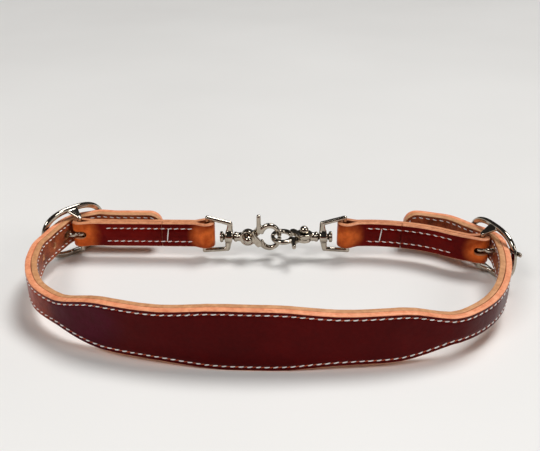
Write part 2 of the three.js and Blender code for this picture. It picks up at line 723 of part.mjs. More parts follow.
function snapBody() {
  const head = rod([STEM_HEAD_FACE - STEM_HEAD, 0, 0], [STEM_HEAD_FACE, 0, 0], STEM_HEAD_RADIUS, 16);
  const stem = rod([STEM_HEAD_FACE - 0.5, 0, 0], [NECK_FROM + 0.5, 0, 0], STEM_RADIUS, 16);
  const neck = rod([NECK_FROM, 0, 0], [NECK_TO, 0, 0], NECK_RADIUS, 16);
  const cheek = plate(cheekShape(-1), -CHEEK - GAP / 2, -GAP / 2);
  const jaw = plate(jawShape(-1), -JAW_WIRE / 2, JAW_WIRE / 2);
  const solid = joined(head, stem, neck, cheek, jaw);
  const triggerRoom = roomForDisc(TRIGGER_BOSS_RADIUS, -GAP / 2, BESIDE_CHEEKS);
  return toGeometry(without(solid, triggerRoom, rivetBore()));
}

function leverShape() {
  const middle = PIVOT_AT + LEVER_PAST_PIVOT;
  return new THREE.Shape([
    new THREE.Vector2(middle - LEVER_HALF, LEVER_ROOT),
    new THREE.Vector2(middle + LEVER_HALF + 0.7, LEVER_ROOT),
    new THREE.Vector2(middle + LEVER_HALF, LEVER_ROOT + 4.9),
    new THREE.Vector2(middle + LEVER_HALF, LEVER_TOP - 1),
    new THREE.Vector2(middle + LEVER_HALF - 0.8, LEVER_TOP),
    new THREE.Vector2(middle - LEVER_HALF + 0.8, LEVER_TOP),
    new THREE.Vector2(middle - LEVER_HALF, LEVER_TOP - 1),
  ]);
}

function snapTrigger() {
  const cheek = plate(cheekShape(1), GAP / 2, CHEEK + GAP / 2);
  const jaw = plate(jawShape(1), -JAW_WIRE / 2, JAW_WIRE / 2);
  const lever = plate(leverShape(), -JAW_WIRE / 2, JAW_WIRE / 2);
  const solid = joined(cheek, jaw, lever);
  const bossRoom = roomForDisc(BOSS_RADIUS, -BESIDE_CHEEKS, GAP / 2);
  const springPocket = rod([PIVOT_AT, -1, 0], [PIVOT_AT, POCKET_DEPTH, 0], POCKET_RADIUS, 20);
  return toGeometry(without(solid, bossRoom, rivetBore(), springPocket));
}

// The pivot: a shank, a ball head that is cut off flat on its cheek, and a peened tail.
function snapRivet() {
  const shank = rod([PIVOT_AT, -CHEEK - 1, 0], [PIVOT_AT, CHEEK + 1, 0], RIVET_RADIUS, 14);
  const headFace = CHEEK + GAP * 1.5;
  const ball = new THREE.SphereGeometry(BALL_RADIUS, 16, 8);
  ball.rotateX(Math.PI / 2);
  ball.translate(PIVOT_AT, -headFace - BALL_RADIUS * BALL_STAND, 0);
  const behindBall = block(0, FAR, -headFace, FAR, -FAR, FAR);
  const cap = without(toSolid(ball), behindBall);
  const tail = rod([PIVOT_AT, headFace, 0], [PIVOT_AT, headFace + TAIL_THICKNESS, 0], TAIL_RADIUS, 16);
  return toGeometry(cap.add(joined(shank, tail)));
}

class SpringPath extends THREE.Curve {
  getPoint(t) {
    const angle = Math.PI * (SPRING_FROM + SPRING_TURN * t);
    return new THREE.Vector3(PIVOT_AT + SPRING_RADIUS * Math.cos(angle),
      SPRING_START + SPRING_RISE * t, SPRING_RADIUS * Math.sin(angle));
  }
}

function triggerSpring() {
  const wire = new THREE.Shape();
  wire.absarc(0, 0, SPRING_WIRE / 2, 0, Math.PI * 2);
  return new THREE.ExtrudeGeometry(wire,
    { steps: 24, curveSegments: 3, bevelEnabled: false, extrudePath: new SpringPath() });
}

function snap(name, toWorld) {
  const group = new THREE.Group();
  group.add(node(`${name}_snap_body`, snapBody(), STEEL));
  group.add(node(`${name}_snap_trigger`, snapTrigger(), STEEL));
  group.add(node(`${name}_snap_rivet`, snapRivet(), STEEL));
  group.add(node(`${name}_trigger_spring`, triggerSpring(), SPRING_STEEL));
  group.applyMatrix4(toWorld);
  return group;
}

// The left snap has its jaws upright. The right one is the same piece, turned end for end and a
// quarter turn about its own axis, so the two noses link like two chain links.
const leftSnapPlace = new THREE.Matrix4().makeTranslation(LEFT_EYE_X, CLOSURE_Y, CLOSURE_HEIGHT);
const rightSnapPlace = new THREE.Matrix4().makeTranslation(RIGHT_EYE_X, CLOSURE_Y, CLOSURE_HEIGHT)
  .multiply(new THREE.Matrix4().makeBasis(
    new THREE.Vector3(-1, 0, 0), new THREE.Vector3(0, 0, -1), new THREE.Vector3(0, -1, 0)));

function snapEye(name, x, turn) {
  const eye = node(`${name}_snap_eye`, eyeLoop(), STEEL);
  eye.position.set(x, CLOSURE_Y, MID_HEIGHT - EYE_DROP);
  eye.rotation.set(0, THREE.MathUtils.degToRad(EYE_TILT), turn, 'ZYX');
  return eye;
}

// ---------------------------------------------------------------- assembly

const bodyHoles = [
  ...billetHoles(LEFT_BUCKLE), ...billetHoles(RIGHT_BUCKLE), ...seamTipHoles(),
];
const tugRoute = (place, between, eyeX) => [
  inPlan(place, 0, -BAR_DROP), ...between, [eyeX, CLOSURE_Y],
];
const leftTug = tugRoute(LEFT_BUCKLE, LEFT_TUG_MIDDLE, LEFT_EYE_X);
const rightTug = tugRoute(RIGHT_BUCKLE, RIGHT_TUG_MIDDLE, RIGHT_EYE_X);

const assembly = new THREE.Group();
assembly.add(node('body_outer', bodyLayer(GAP / 2, LAYER + GAP / 2, bodyHoles), OUTER_LEATHER));
assembly.add(node('body_lining', bodyLayer(-LAYER - GAP / 2, -GAP / 2, bodyHoles), LINING_LEATHER));
assembly.add(node('top_seam_thread', seamThread(1), WHITE_THREAD));
assembly.add(node('bottom_seam_thread', seamThread(-1), WHITE_THREAD));
assembly.add(...tugPieces('left', leftTug, LEFT_TUG_SEAM, 1));
assembly.add(...tugPieces('right', rightTug, RIGHT_TUG_SEAM, -1));
assembly.add(buckle('left', LEFT_BUCKLE));
assembly.add(buckle('right', RIGHT_BUCKLE));
assembly.add(snapEye('left', LEFT_EYE_X, 0));
assembly.add(snapEye('right', RIGHT_EYE_X, Math.PI));
assembly.add(snap('left', leftSnapPlace));
assembly.add(snap('right', rightSnapPlace));

// The origin is the middle of the footprint, on the surface that the strap stands on.
const box = new THREE.Box3().setFromObject(assembly, true);
const middle = box.getCenter(new THREE.Vector3());
assembly.position.set(-middle.x, -middle.y, -box.min.z);

const model = new THREE.Group();
model.add(assembly);
export default model;
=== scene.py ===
"""Visual model of a two-layer leather strap with two buckled tugs and two linked swivel snaps.

Lengths in this script are millimetres in the plan that the CAD is drawn in, and become metres in
the row frame when a mesh is made.
"""

import json
import random
from bisect import bisect_right
from math import copysign, cos, pi, radians, sin, sqrt, tan

import bmesh
import bpy
from mathutils import Matrix, Vector, noise


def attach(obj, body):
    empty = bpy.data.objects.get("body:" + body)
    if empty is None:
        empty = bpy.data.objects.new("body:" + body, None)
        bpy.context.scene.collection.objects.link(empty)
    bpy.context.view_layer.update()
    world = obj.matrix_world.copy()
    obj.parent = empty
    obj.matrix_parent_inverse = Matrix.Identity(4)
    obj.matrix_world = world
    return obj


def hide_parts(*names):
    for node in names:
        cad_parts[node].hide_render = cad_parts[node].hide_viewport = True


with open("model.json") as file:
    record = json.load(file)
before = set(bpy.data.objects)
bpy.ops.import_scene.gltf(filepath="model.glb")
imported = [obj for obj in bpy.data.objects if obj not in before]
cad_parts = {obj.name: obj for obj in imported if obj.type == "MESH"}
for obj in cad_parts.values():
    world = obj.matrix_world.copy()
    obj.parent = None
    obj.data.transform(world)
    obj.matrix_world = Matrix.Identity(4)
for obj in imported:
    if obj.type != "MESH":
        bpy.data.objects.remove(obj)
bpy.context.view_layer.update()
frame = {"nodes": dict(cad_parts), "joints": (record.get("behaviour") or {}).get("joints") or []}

MM = 0.001
NODES = frame["nodes"]
JOINTS = {joint["name"]: joint for joint in frame["joints"]}

# ---- the CAD's dimensions, in mm

GAP = 0.3
STRAP_WIDTH = 19.05
BODY_WIDTH = 41.6
MID_HEIGHT = BODY_WIDTH / 2
BILLET_WIDTH = 18.4
LAYER = 3.9
HOLE_PITCH = 19.05
HOLE_RADIUS = 2.3
WORN_HOLE_RADIUS = 2.8
HOLE_STRETCH = 1.6
HOLES_EACH_SIDE = 2
SEAM_INSET = 2.8
TUG_LAYER = 3.7
TUG_SEAM_INSET = 4.3
FRAME_LENGTH = 54.6
FRAME_HEIGHT = 39.4
FRAME_FOOT = 19.6
FRAME_SQUARENESS = 2.6
FRAME_RIM = 4.4
FRAME_THICKNESS = 3.2
BAR_DROP = 9.6
BAR_RADIUS = 1.6
BAR_REACH = 13.6
FOLD_PLAY = 0.4
BILLET_OUT = 1.2
BILLET_BEND = 20
BILLET_SLOPE = radians(25)
BEND_POINTS = (20, 14, 7.5, 0, -7.5, -14, -20)
HOLE_IN_USE = 10.8
TONGUE_THICKNESS = 2
TONGUE_HEIGHT = 3.4
TONGUE_PLAY = 0.8
TONGUE_CURL = 1.6
SLOT_LENGTH = 14.6
SLOT_HEIGHT = 6
SLOT_PAST_BAR = 4.9
EYE_LENGTH = 19.5
EYE_BAR_RADIUS = 1.5
EYE_PLAY = 1.6
EYE_TILT = 6
EYE_DROP = 0.6
STEM_RADIUS = 2.2
STEM_BORE = 3.1
STEM_HEAD_FACE = 12.9
NECK_FROM = 20.6
PIVOT_AT = 31.2
RING_AT = 47
SNAP_REACH = 56.2
JAW_HEIGHT = 22
JAW_WIRE = 3.4
BOSS_RADIUS = 6.1
TRIGGER_BOSS = 5.4
POCKET_RADIUS = 4.4
CHEEK = 3.1
RIVET_RADIUS = 1.5
BALL_RADIUS = 3.4
LEVER_TOP = 18
CLOSURE_Y = 140.5
CLOSURE_HEIGHT = 18
LEFT_EYE_X = -47.5
RIGHT_EYE_X = 56.5
LEFT_BUCKLE = {"x": -147.5, "y": 149, "turn": 47, "towards": -1, "lift": 0.9, "tilt": 0}
RIGHT_BUCKLE = {"x": 159.3, "y": 119.9, "turn": -69, "towards": 1, "lift": 1.2, "tilt": 12}
LEFT_TAIL = [(-82, 157.3), (-100, 157.8), (-117, 158)]
BODY_FRONT = [
    (-159.4, 119), (-161.9, 108), (-161.6, 96), (-160, 83), (-154.8, 66), (-147.6, 52.2),
    (-137.2, 41.2), (-123, 30.6), (-106.6, 22.6), (-90.5, 16.5), (-66, 10), (-36, 6), (0, 4.1),
    (39, 4.3), (68, 6.6), (85, 9.6), (100, 12.6), (114.5, 17.2), (128.6, 27.2),
    (138, 37.4), (146.2, 50.5), (153, 66.5), (157.8, 82),
]
RIGHT_TAIL = [(134, 149.9), (124, 153.9), (112.5, 157.6), (102, 158)]
BODY_CENTRE_X = -13
BODY_PROFILE = [
    (0, BODY_WIDTH), (13, BODY_WIDTH), (24, 40.7), (33, 38.8), (43, 36.6), (52, 35), (64, 34.2),
    (78, 34.2), (90, 33.7), (98.5, 31.2), (106, 27.4), (115, 22.4), (122, 19.2),
    (130, BILLET_WIDTH),
]
LEFT_TUG_MIDDLE = [(-128, 142.2), (-90, 141.4)]
RIGHT_TUG_MIDDLE = [
    (141.5, 118.4), (132, 123), (121, 129.6), (109.5, 134.6), (98, 137.9), (86, 140.2),
    (73, 141.2),
]
LEFT_TUG_SEAM = 61
RIGHT_TUG_SEAM = 58
TUG_ROW = (19, 84)
FOLD_SPREAD = 9
BUCKLE_FOLD = BAR_RADIUS + FOLD_PLAY + TUG_LAYER / 2
SNAP_FOLD = EYE_BAR_RADIUS + EYE_PLAY + TUG_LAYER / 2
TIP_RADIUS = BILLET_WIDTH / 2

# ---- sizes that only the visual model has, in mm

STITCH_PITCH = 5.1
STITCH_LENGTH = 3.5
STITCH_WIDTH = 0.78
STITCH_HEIGHT = 0.7
STITCH_SLANT = radians(9)
SLANT_SPREAD = (0.55, 1.4)  # shares that one stitch's slant and length lie between
LENGTH_SPREAD = (0.93, 1.06)
CROSS_LENGTH = 11
SLIT_LENGTH = 2.9
SLIT_WIDTH = 0.62
SLIT_HEIGHT = 0.36
SLIT_SLANT = radians(17)
EDGE_ROUND = 1.0  # how far a leather edge is rounded off
INNER_ROUND = 0.35  # the same where two layers meet
FACE_STEPS = 8
GROOVE_DEPTH = 0.3  # the channel that a stitch row lies in
GROOVE_HALF = 1.0
GROOVE_STEPS = (-1, -0.5, 0, 0.5, 1)
VOXEL = 0.32  # detail of the cast metal pieces
CUTTER_REACH = 12
WIRE_SQUARENESS = 2.3  # 2 is an oval section, and more is squarer
ARM_SQUARENESS = 3.2
LEVER_SQUARENESS = 2.6
TUBE_SIDES = 24
FULL_WITHIN = 0.35  # share of a colour patch's reach within which it is at its strongest
SLOW_WAVE = (0.045, 0.16)  # how quickly the leather's waves come, and their height
QUICK_WAVE = (0.21, 0.05)
EDGE_WAVE = 0.7
FLOOR_CLEARANCE = 0.05
SLIM_HALF = 2.5  # a strip with a smaller half width has less rounding
SPARE_STRETCH = 0.05
TIP_END_HALF = 0.8
STITCH_PROFILE = ((-0.5, 0.25), (-0.43, 0.65), (-0.28, 0.93), (0, 1.0), (0.28, 0.93),
                  (0.43, 0.65), (0.5, 0.25))
STITCH_STAND = 0.3  # share of its height that a stitch's middle stands above its row
STITCH_DIVE = 2.2  # how steeply it dives from there to its ends
CROSS_LEAN = Vector((0.13, 0, 1))
FOLD_STEPS = 20
TIP_STATIONS = (0.02, 0.25, 0.7, 1.4, 2.4, 3.7, 5.3, 7.1)
STATION_PITCH = 2.4
ROW_STEP = 1.5
TUG_ROW_STEPS = 60
SEAM_TO_BUCKLE_STEPS = 36
OUTER_RUN_STEPS = 56
SNAP_TO_SEAM_STEPS = 24
CAST_EXTRA = 0.1  # cast metal is this much fuller than in the CAD
ARM_ROOT_HEIGHT = 17.1  # where a buckle's web leaves the rim
ARM_TOP = 0.2
ARM_DROP = BAR_DROP + 0.3
ARM_LEAN = 4.2
ARM_ROOT_HALF = 5.4
ARM_TAPER = 3.7
ARM_HALF_THICKNESS = 1.35
ARM_SWELL = 0.15
BLADE = ((2.9, -9.5), (6.8, -8.6), (9, -5.6), (12.5, 1.9), (13.7, 3.2), (15.5, 3.6), (20, 3.4),
         (26, 3), (29.5, 2.9))
BLADE_TIP = 1.6  # length of the tongue's rounded tip
BLADE_STEPS = 40
EYE_BAR_HALF = 13.5
EYE_BAND_HALF = 10.6
EYE_BAND_AT = EYE_LENGTH - 2.4
EYE_SIDE = (1.7, 1.65)
EYE_CORNER = 1.72
EYE_BAND_END = (1.8, 1.65)
EYE_BAND_MIDDLE = (2.5, 1.9)
EYE_BAND_BULGE = 5  # half length of the band's thicker middle
EYE_BOSS = (2.9, 5.7, 5.0, 0.9)  # how far it stands in, thickness, radius and rounding
BORE_REACH = 6
JAW_FROM = 0.05  # angles round the jaw ring, from the nose
JAW_SWEEP = 2.75
JAW_STEPS = 36
NOSE_TO = 0.9
NOSE_THINNING = 0.12
ROOT_SWEEP = 1.9
ROOT_GROWTH = 0.6
ROOT_PULL = 0.055  # share that the ring draws in by as it thickens
CHEEK_FROM = 0.35
CHEEK_SWEEP = 2 * pi - 1.15
CHEEK_STEPS = 36
CHEEK_ARM = ((9.6, 6.7), (8.2, 7.6), (5.8, 6.6), (5.4, 4.9), (6.4, 2.2))
BOSS_RING = (0.65, 0.6)
BOSS_RING_SUNK = 0.15
BOSS_RING_INSET = 0.75
STEM_HEAD = (2.6, 4.2, 0.8)  # thickness, radius and rounding
STEM_IN_HEAD = 0.6
NECK_PROFILE = ((0.2, 3.2), (0.9, 3.9), (2.2, 3.9), (2.9, 3.2), (4.4, 3.4), (6.4, 3.7))
POCKET_SPAN = (-1, 2)
PAST_CHEEKS = 8
BOSS_CLEARANCE = 6
LEVER_PAST_PIVOT = 7.9
LEVER = (  # its lean, height and two half widths
    (0.2, 3.6, 2.6, 1.9), (0.1, 6, 2.1, 1.85), (0, 9, 1.7, 1.8), (0, 14, 1.6, 1.75),
    (0, LEVER_TOP - 1.5, 1.6, 1.75), (0, LEVER_TOP - 0.5, 1.4, 1.5), (0, LEVER_TOP, 0.5, 0.6))
BALL_STAND = 0.55  # share of the rivet ball's radius that its middle stands off
BALL_SEAT = 2.8
TAIL_PROFILE = ((0, 2.6), (0.7, 2.6), (1.05, 2.1), (1.15, 0.05))
RIVET_SOFTNESS = 0.15
CAMERA_AT = (0, -369.5, 277.1)
CAMERA_TILT = radians(63.9)
CAMERA_LENS = 51.27
FLOOR_REACH = 4.0  # metres
LIT_POINT = (0, 0, 0.02)  # metres
SKY = ((0.0, 0.55), (0.06, 0.42), (0.18, 0.05), (1.0, 0.03))  # height looked at, and grey

eye_pos = JOINTS["left_eye_swing"]["pos_m"]
SHIFT = Vector((eye_pos[0] - LEFT_EYE_X * MM, eye_pos[1] - CLOSURE_Y * MM, 0))


def to_row(point):
    """A point of the plan, in the row frame in metres."""
    return Vector(point) * MM + SHIFT


# ---- material helpers


def set_stops(ramp, stops):
    """stops are (position, colour with alpha)."""
    elements = ramp.color_ramp.elements
    while len(elements) < len(stops):
        elements.new(0.5)
    for element, (position, colour) in zip(elements, stops):
        element.position = position
        element.color = colour


class Nodes:
    """Short calls for building one material's node tree."""

    def __init__(self, name):
        self.material = bpy.data.materials.new(name)
        self.material.use_nodes = True
        self.tree = self.material.node_tree
        self.shader = self.tree.nodes["Principled BSDF"]
        self.coords = self.tree.nodes.new("ShaderNodeTexCoord").outputs["Object"]

    def link(self, source, target):
        self.tree.links.new(source, target)

    def new(self, kind, **inputs):
        """A node with plain values in some of its inputs."""
        node = self.tree.nodes.new("ShaderNode" + kind)
        for name, value in inputs.items():
            node.inputs[name.replace("_", " ")].default_value = value
        return node

    def set(self, socket, value):
        """Links an output or sets a plain value."""
        if hasattr(value, "is_linked"):
            self.link(value, socket)
        else:
            socket.default_value = value

    def noise(self, scale, detail, rough=0.55, stretch=None):
        node = self.new("TexNoise", Scale=scale, Detail=detail, Roughness=rough)
        self.link(self.mapped(stretch) if stretch else self.coords, node.inputs["Vector"])
        return node.outputs["Fac"]

    def cells(self, scale):
        node = self.new("TexVoronoi", Scale=scale)
        node.feature = "DISTANCE_TO_EDGE"
        self.link(self.coords, node.inputs["Vector"])
        return node.outputs["Distance"]

    def mapped(self, stretch):
        node = self.new("Mapping", Scale=stretch)
        self.link(self.coords, node.inputs["Vector"])
        return node.outputs["Vector"]

    def ramp(self, value, *stops):
        """Colour or grey by value: stops are (position, grey or colour)."""
        node = self.new("ValToRGB")
        set_stops(node, [
            (position, (*(look if isinstance(look, tuple) else (look,) * 3), 1.0))
            for position, look in stops])
        self.link(value, node.inputs["Fac"])
        return node.outputs["Color"]

    def times(self, a, b):
        node = self.new("Math")
        node.operation = "MULTIPLY"
        node.use_clamp = True
        self.link(a, node.inputs[0])
        self.link(b, node.inputs[1])
        return node.outputs["Value"]

    def mix(self, factor, a, b):
        node = self.new("Mix")
        node.data_type = "RGBA"
        self.set(node.inputs["Factor"], factor)
        for socket, colour in ((node.inputs[6], a), (node.inputs[7], b)):
            self.set(socket, (*colour, 1.0) if isinstance(colour, tuple) else colour)
        return node.outputs[2]

    def nearness(self, centre, reach):
        """1 at a point of the row frame, falling to 0 at reach millimetres from it."""
        distance = self.new("VectorMath")
        distance.operation = "DISTANCE"
        self.link(self.coords, distance.inputs[0])
        distance.inputs[1].default_value = centre
        fall = self.new("MapRange", From_Min=reach * MM, From_Max=reach * MM * FULL_WITHIN)
        fall.interpolation_type = "SMOOTHSTEP"
        self.link(distance.outputs["Value"], fall.inputs["Value"])
        return fall.outputs["Result"]

    def bump(self, height, strength, distance, below=None):
        node = self.new("Bump", Strength=strength, Distance=distance)
        self.link(height, node.inputs["Height"])
        if below:
            self.link(below, node.inputs["Normal"])
        return node.outputs["Normal"]

    def finish(self, colour, rough, normal, **plain):
        self.link(colour, self.shader.inputs["Base Color"])
        self.set(self.shader.inputs["Roughness"], rough)
        self.link(normal, self.shader.inputs["Normal"])
        for name, value in plain.items():
            socket = name.replace("_", " ").title().replace("Ior", "IOR")
            self.shader.inputs[socket].default_value = value
        return self.material


# ---- materials


def grain_leather(name, dark, red, light, thin_dye_and_painted_light):
    """Dyed and glazed grain: fine pores and cloudy dye. Each patch is (centre, reach, dull,
    bright): on the tugs a lighter colour where the dye is thin because the leather is stretched
    round a fold, and on the body painted light and a painted reflection on its curves."""
    n = Nodes(name)
    cloud = n.noise(28, 5, 0.6)
    fine = n.noise(420, 3, 0.6)
    colour = n.ramp(cloud, (0.3, dark), (0.55, red), (0.8, light))
    colour = n.mix(0.22, colour, n.ramp(fine, (0.35, dark), (0.7, light)))
    streak = n.noise(160, 3, 0.5)
    # on the body these patches are painted light and a painted reflection; on the tugs they are
    # dye thinned at the folds
    for centre, reach, dull, bright in thin_dye_and_painted_light:
        near = n.nearness(centre, reach)
        uneven = n.times(near, n.ramp(streak, (0.2, 0.8), (0.6, 1.0)))
        colour = n.mix(uneven, colour, n.ramp(streak, (0.25, dull), (0.7, bright)))
    pores = n.cells(1500)
    wrinkles = n.noise(700, 5, 0.7)
    normal = n.bump(pores, 0.12, 0.0003)
    normal = n.bump(wrinkles, 0.14, 0.0004, normal)
    normal = n.bump(cloud, 0.25, 0.003, normal)
    roughness = n.ramp(n.noise(60, 4), (0.3, 0.28), (0.75, 0.46))
    return n.finish(colour, roughness, normal, coat_weight=0.03, coat_roughness=0.14,
                    specular_ior_level=0.14, specular_tint=(1.0, 0.25, 0.2, 1.0))


def lining_leather(name):
    """The plainer inner layer: mottled red-brown, dark where it is handled, a little fibrous."""
    n = Nodes(name)
    blotch = n.noise(70, 6, 0.7)
    colour = n.ramp(blotch, (0.38, (0.05, 0.005, 0.002)), (0.5, (0.24, 0.032, 0.008)),
                    (0.66, (0.50, 0.12, 0.032)))
    fibre = n.noise(900, 4, 0.7)
    colour = n.mix(0.25, colour, n.ramp(fibre, (0.3, (0.09, 0.012, 0.005)),
                                        (0.75, (0.7, 0.24, 0.09))))
    normal = n.bump(fibre, 0.35, 0.0005)
    normal = n.bump(blotch, 0.35, 0.002, normal)
    return n.finish(colour, n.ramp(blotch, (0.3, 0.3), (0.7, 0.5)), normal,
                    coat_weight=0.05, coat_roughness=0.3, specular_ior_level=0.25)


def cut_edge(name, pale, warm, brown):
    """A cut and burnished leather edge: fibres that run along it, darker in places."""
    n = Nodes(name)
    fibres = n.noise(260, 6, 0.7, stretch=(1, 1, 4))
    blotch = n.noise(75, 5, 0.6)
    colour = n.ramp(fibres, (0.25, brown), (0.5, warm), (0.75, pale))
    colour = n.mix(n.ramp(blotch, (0.45, 0.0), (0.75, 0.65)), colour, brown)
    normal = n.bump(fibres, 0.4, 0.0006)
    return n.finish(colour, n.ramp(blotch, (0.3, 0.42), (0.7, 0.62)), normal, coat_weight=0.1,
                    coat_roughness=0.35)


def polished_nickel(name):
    """Bright plate over a slightly wavy casting, with hairline wear."""
    n = Nodes(name)
    waves = n.noise(90, 2, 0.4)
    hairs = n.noise(500, 4, 0.7, stretch=(1, 9, 1))
    dust = n.noise(260, 5, 0.65)
    colour = n.ramp(dust, (0.3, (0.34, 0.29, 0.235)), (0.6, (0.48, 0.425, 0.35)))
    normal = n.bump(waves, 0.06, 0.001)
    normal = n.bump(hairs, 0.015, 0.0002, normal)
    return n.finish(colour, n.ramp(dust, (0.35, 0.05), (0.75, 0.14)), normal, metallic=1.0)


def drawn_wire(name):
    n = Nodes(name)
    lines = n.noise(600, 4, 0.6, stretch=(1, 6, 1))
    return n.finish(n.ramp(lines, (0.3, (0.35, 0.35, 0.35)), (0.7, (0.6, 0.6, 0.59))),
                    n.ramp(lines, (0.3, 0.25), (0.7, 0.4)), n.bump(lines, 0.1, 0.0002),
                    metallic=1.0)


def waxed_thread(name):
    """White waxed thread with the twist of its plies, and grime in places."""
    n = Nodes(name)
    plies = n.noise(1400, 3, 0.6, stretch=(1, 1, 2.5))
    grime = n.noise(70, 4, 0.6)
    colour = n.ramp(plies, (0.3, (0.78, 0.72, 0.67)), (0.6, (1.0, 0.97, 0.94)))
    colour = n.mix(n.ramp(grime, (0.55, 0.0), (0.85, 0.4)), colour, (0.5, 0.3, 0.22))
    return n.finish(colour, 0.6, n.bump(plies, 0.5, 0.0004), coat_weight=0.1)


def pale_floor(name):
    n = Nodes(name)
    cloud = n.noise(2.2, 3, 0.5)
    return n.finish(n.ramp(cloud, (0.3, (0.80, 0.785, 0.76)), (0.7, (0.86, 0.845, 0.82))), 0.62,
                    n.bump(n.noise(160, 3), 0.04, 0.001))


def joint_spot(name):
    """A joint's axis, as a point of the row frame at the strap's middle height."""
    x, y, _ = JOINTS[name]["pos_m"]
    return (x, y, MID_HEIGHT * MM)


ORANGE = ((0.50, 0.072, 0.010), (0.88, 0.19, 0.034))
# painted light: a lighter red-brown patch where light falls on the body's front-left narrowing end
PAINTED_LIGHT_RUSSET = ((0.15, 0.012, 0.003), (0.34, 0.045, 0.012))
# painted reflection: a purple sheen patch on the body's front-left shoulder
PAINTED_REFLECTION_PLUM = ((0.042, 0.0008, 0.006), (0.064, 0.001, 0.012))

# the body's outer grain, with a plum painted reflection and a russet patch of painted light on its
# front-left curves
OUTER = grain_leather(
    "outer_grain", (0.042, 0.0002, 0.001), (0.064, 0.0004, 0.0012), (0.098, 0.0012, 0.0015),
    thin_dye_and_painted_light=[(to_row((-112, 24, 24)), 34, *PAINTED_REFLECTION_PLUM), (to_row((-152, 58, 20)), 34, *PAINTED_LIGHT_RUSSET)])
TUG_GRAIN = grain_leather(
    "tug_grain", (0.055, 0.0004, 0.0008), (0.115, 0.0014, 0.0014), (0.22, 0.007, 0.003),
    thin_dye_and_painted_light=[(joint_spot(name), reach, *ORANGE)
             for name, reach in (("left_tug_swing", 18), ("right_tug_swing", 15),
                                 ("left_eye_swing", 15), ("right_eye_swing", 15))])
LINING = lining_leather("lining_flesh")
OUTER_EDGE = cut_edge("outer_cut_edge", (1.0, 0.50, 0.28), (0.92, 0.35, 0.17),
                      (0.62, 0.16, 0.06))
LINING_EDGE = cut_edge("lining_cut_edge", (0.80, 0.43, 0.22), (0.64, 0.30, 0.13),
                       (0.42, 0.17, 0.06))
TUG_EDGE = cut_edge("tug_cut_edge", (0.86, 0.42, 0.21), (0.68, 0.27, 0.12), (0.42, 0.11, 0.04))
NICKEL = polished_nickel("polished_nickel")
WIRE = drawn_wire("drawn_wire")
THREAD = waxed_thread("waxed_thread")
SLIT = cut_edge("awl_slit", (0.85, 0.17, 0.04), (0.55, 0.07, 0.015), (0.16, 0.012, 0.004))

# ---- mesh helpers


def turns(count):
    """Angles evenly round a circle."""
    return [2 * pi * k / count for k in range(count)]


def steps_to(total, count):
    """Even steps from 0 to total, with both ends."""
    return [total * k / count for k in range(count + 1)]


def squared(value, power):
    """A sine or cosine, moved out towards the corners of a rounded rectangle."""
    return copysign(abs(value) ** (2 / power), value)


def marks_along(points):
    """How far along a run each of its points is."""
    marks = [0.0]
    for a, b in zip(points, points[1:]):
        marks.append(marks[-1] + (b - a).length)
    return marks


def placed(name, data):
    """A new object in the scene."""
    obj = bpy.data.objects.new(name, data)
    bpy.context.scene.collection.objects.link(obj)
    return obj


def shell(rings, closed=False):
    """(points, faces) of rings joined in order. An open run is capped at both ends."""
    sides = len(rings[0])
    points = [point for ring in rings for point in ring]
    faces = []
    runs = len(rings) if closed else len(rings) - 1
    for i in range(runs):
        for k in range(sides):
            a = i * sides
            b = ((i + 1) % len(rings)) * sides
            faces.append((a + k, a + (k + 1) % sides, b + (k + 1) % sides, b + k))
    if not closed:
        faces.append(tuple(range(sides - 1, -1, -1)))
        faces.append(tuple(range(len(points) - sides, len(points))))
    return points, faces


def tube(path, sizes, up, closed=False, power=2, flat=False):
    """A swept oval. sizes are half widths square to up and along up, one for all or one each.

    flat swaps the two, for a path that lies square to up and a section that is taller along it.
    """
    path = [Vector(point) for point in path]
    if isinstance(sizes, tuple):
        sizes = [sizes] * len(path)
    up = Vector(up).normalized()
    rings = []
    for i, point in enumerate(path):
        before = path[i - 1] if i or closed else path[0]
        after = path[(i + 1) % len(path)] if i + 1 < len(path) or closed else path[-1]
        ahead = (after - before).normalized()
        side = ahead.cross(up).normalized()
        top = side.cross(ahead)
        wide, high = reversed(sizes[i]) if flat else sizes[i]
        ring = []
        for angle in turns(TUBE_SIDES):
            out = squared(cos(angle), power)
            rise = squared(sin(angle), power)
            ring.append(point + side * wide * out + top * high * rise)
        rings.append(ring)
    return shell(rings, closed)


def lathe(start, axis, profile, sides=32):
    """A solid of revolution: profile lists (along, radius) from the first cap to the last."""
    axis = Vector(axis).normalized()
    side = axis.orthogonal().normalized()
    other = axis.cross(side)
    rings = []
    for along, radius in profile:
        centre = Vector(start) + axis * along
        rings.append([centre + (side * cos(a) + other * sin(a)) * radius
                      for a in turns(sides)])
    return shell(rings)


def rounded_disc(start, thickness, radius, edge):
    """A disc along the snap, with a quarter round on both rims."""
    curve = [(edge * (1 - cos(a)), radius - edge * (1 - sin(a)))
             for a in steps_to(pi / 2, 4)]
    return lathe((start, 0, 0), (1, 0, 0),
                 curve + [(thickness - along, out) for along, out in reversed(curve[:4])])


def object_of(name, shells, materials, matrix=None, face_material=None):
    """One object from shells in plan millimetres, moved by matrix, with outward normals."""
    mesh = bpy.data.meshes.new(name)
    points, faces = [], []
    for shell_points, shell_faces in shells:
        base = len(points)
        points += [matrix @ Vector(p) if matrix else Vector(p) for p in shell_points]
        faces += [tuple(base + i for i in face) for face in shell_faces]
    mesh.from_pydata([to_row(point) for point in points], [], faces)
    for material in materials:
        mesh.materials.append(material)
    if face_material:
        mesh.polygons.foreach_set("material_index", face_material)
    work = bmesh.new()
    work.from_mesh(mesh)
    bmesh.ops.recalc_face_normals(work, faces=work.faces)
    work.to_mesh(mesh)
    work.free()
    mesh.polygons.foreach_set("use_smooth", [True] * len(mesh.polygons))
    return placed(name, mesh)


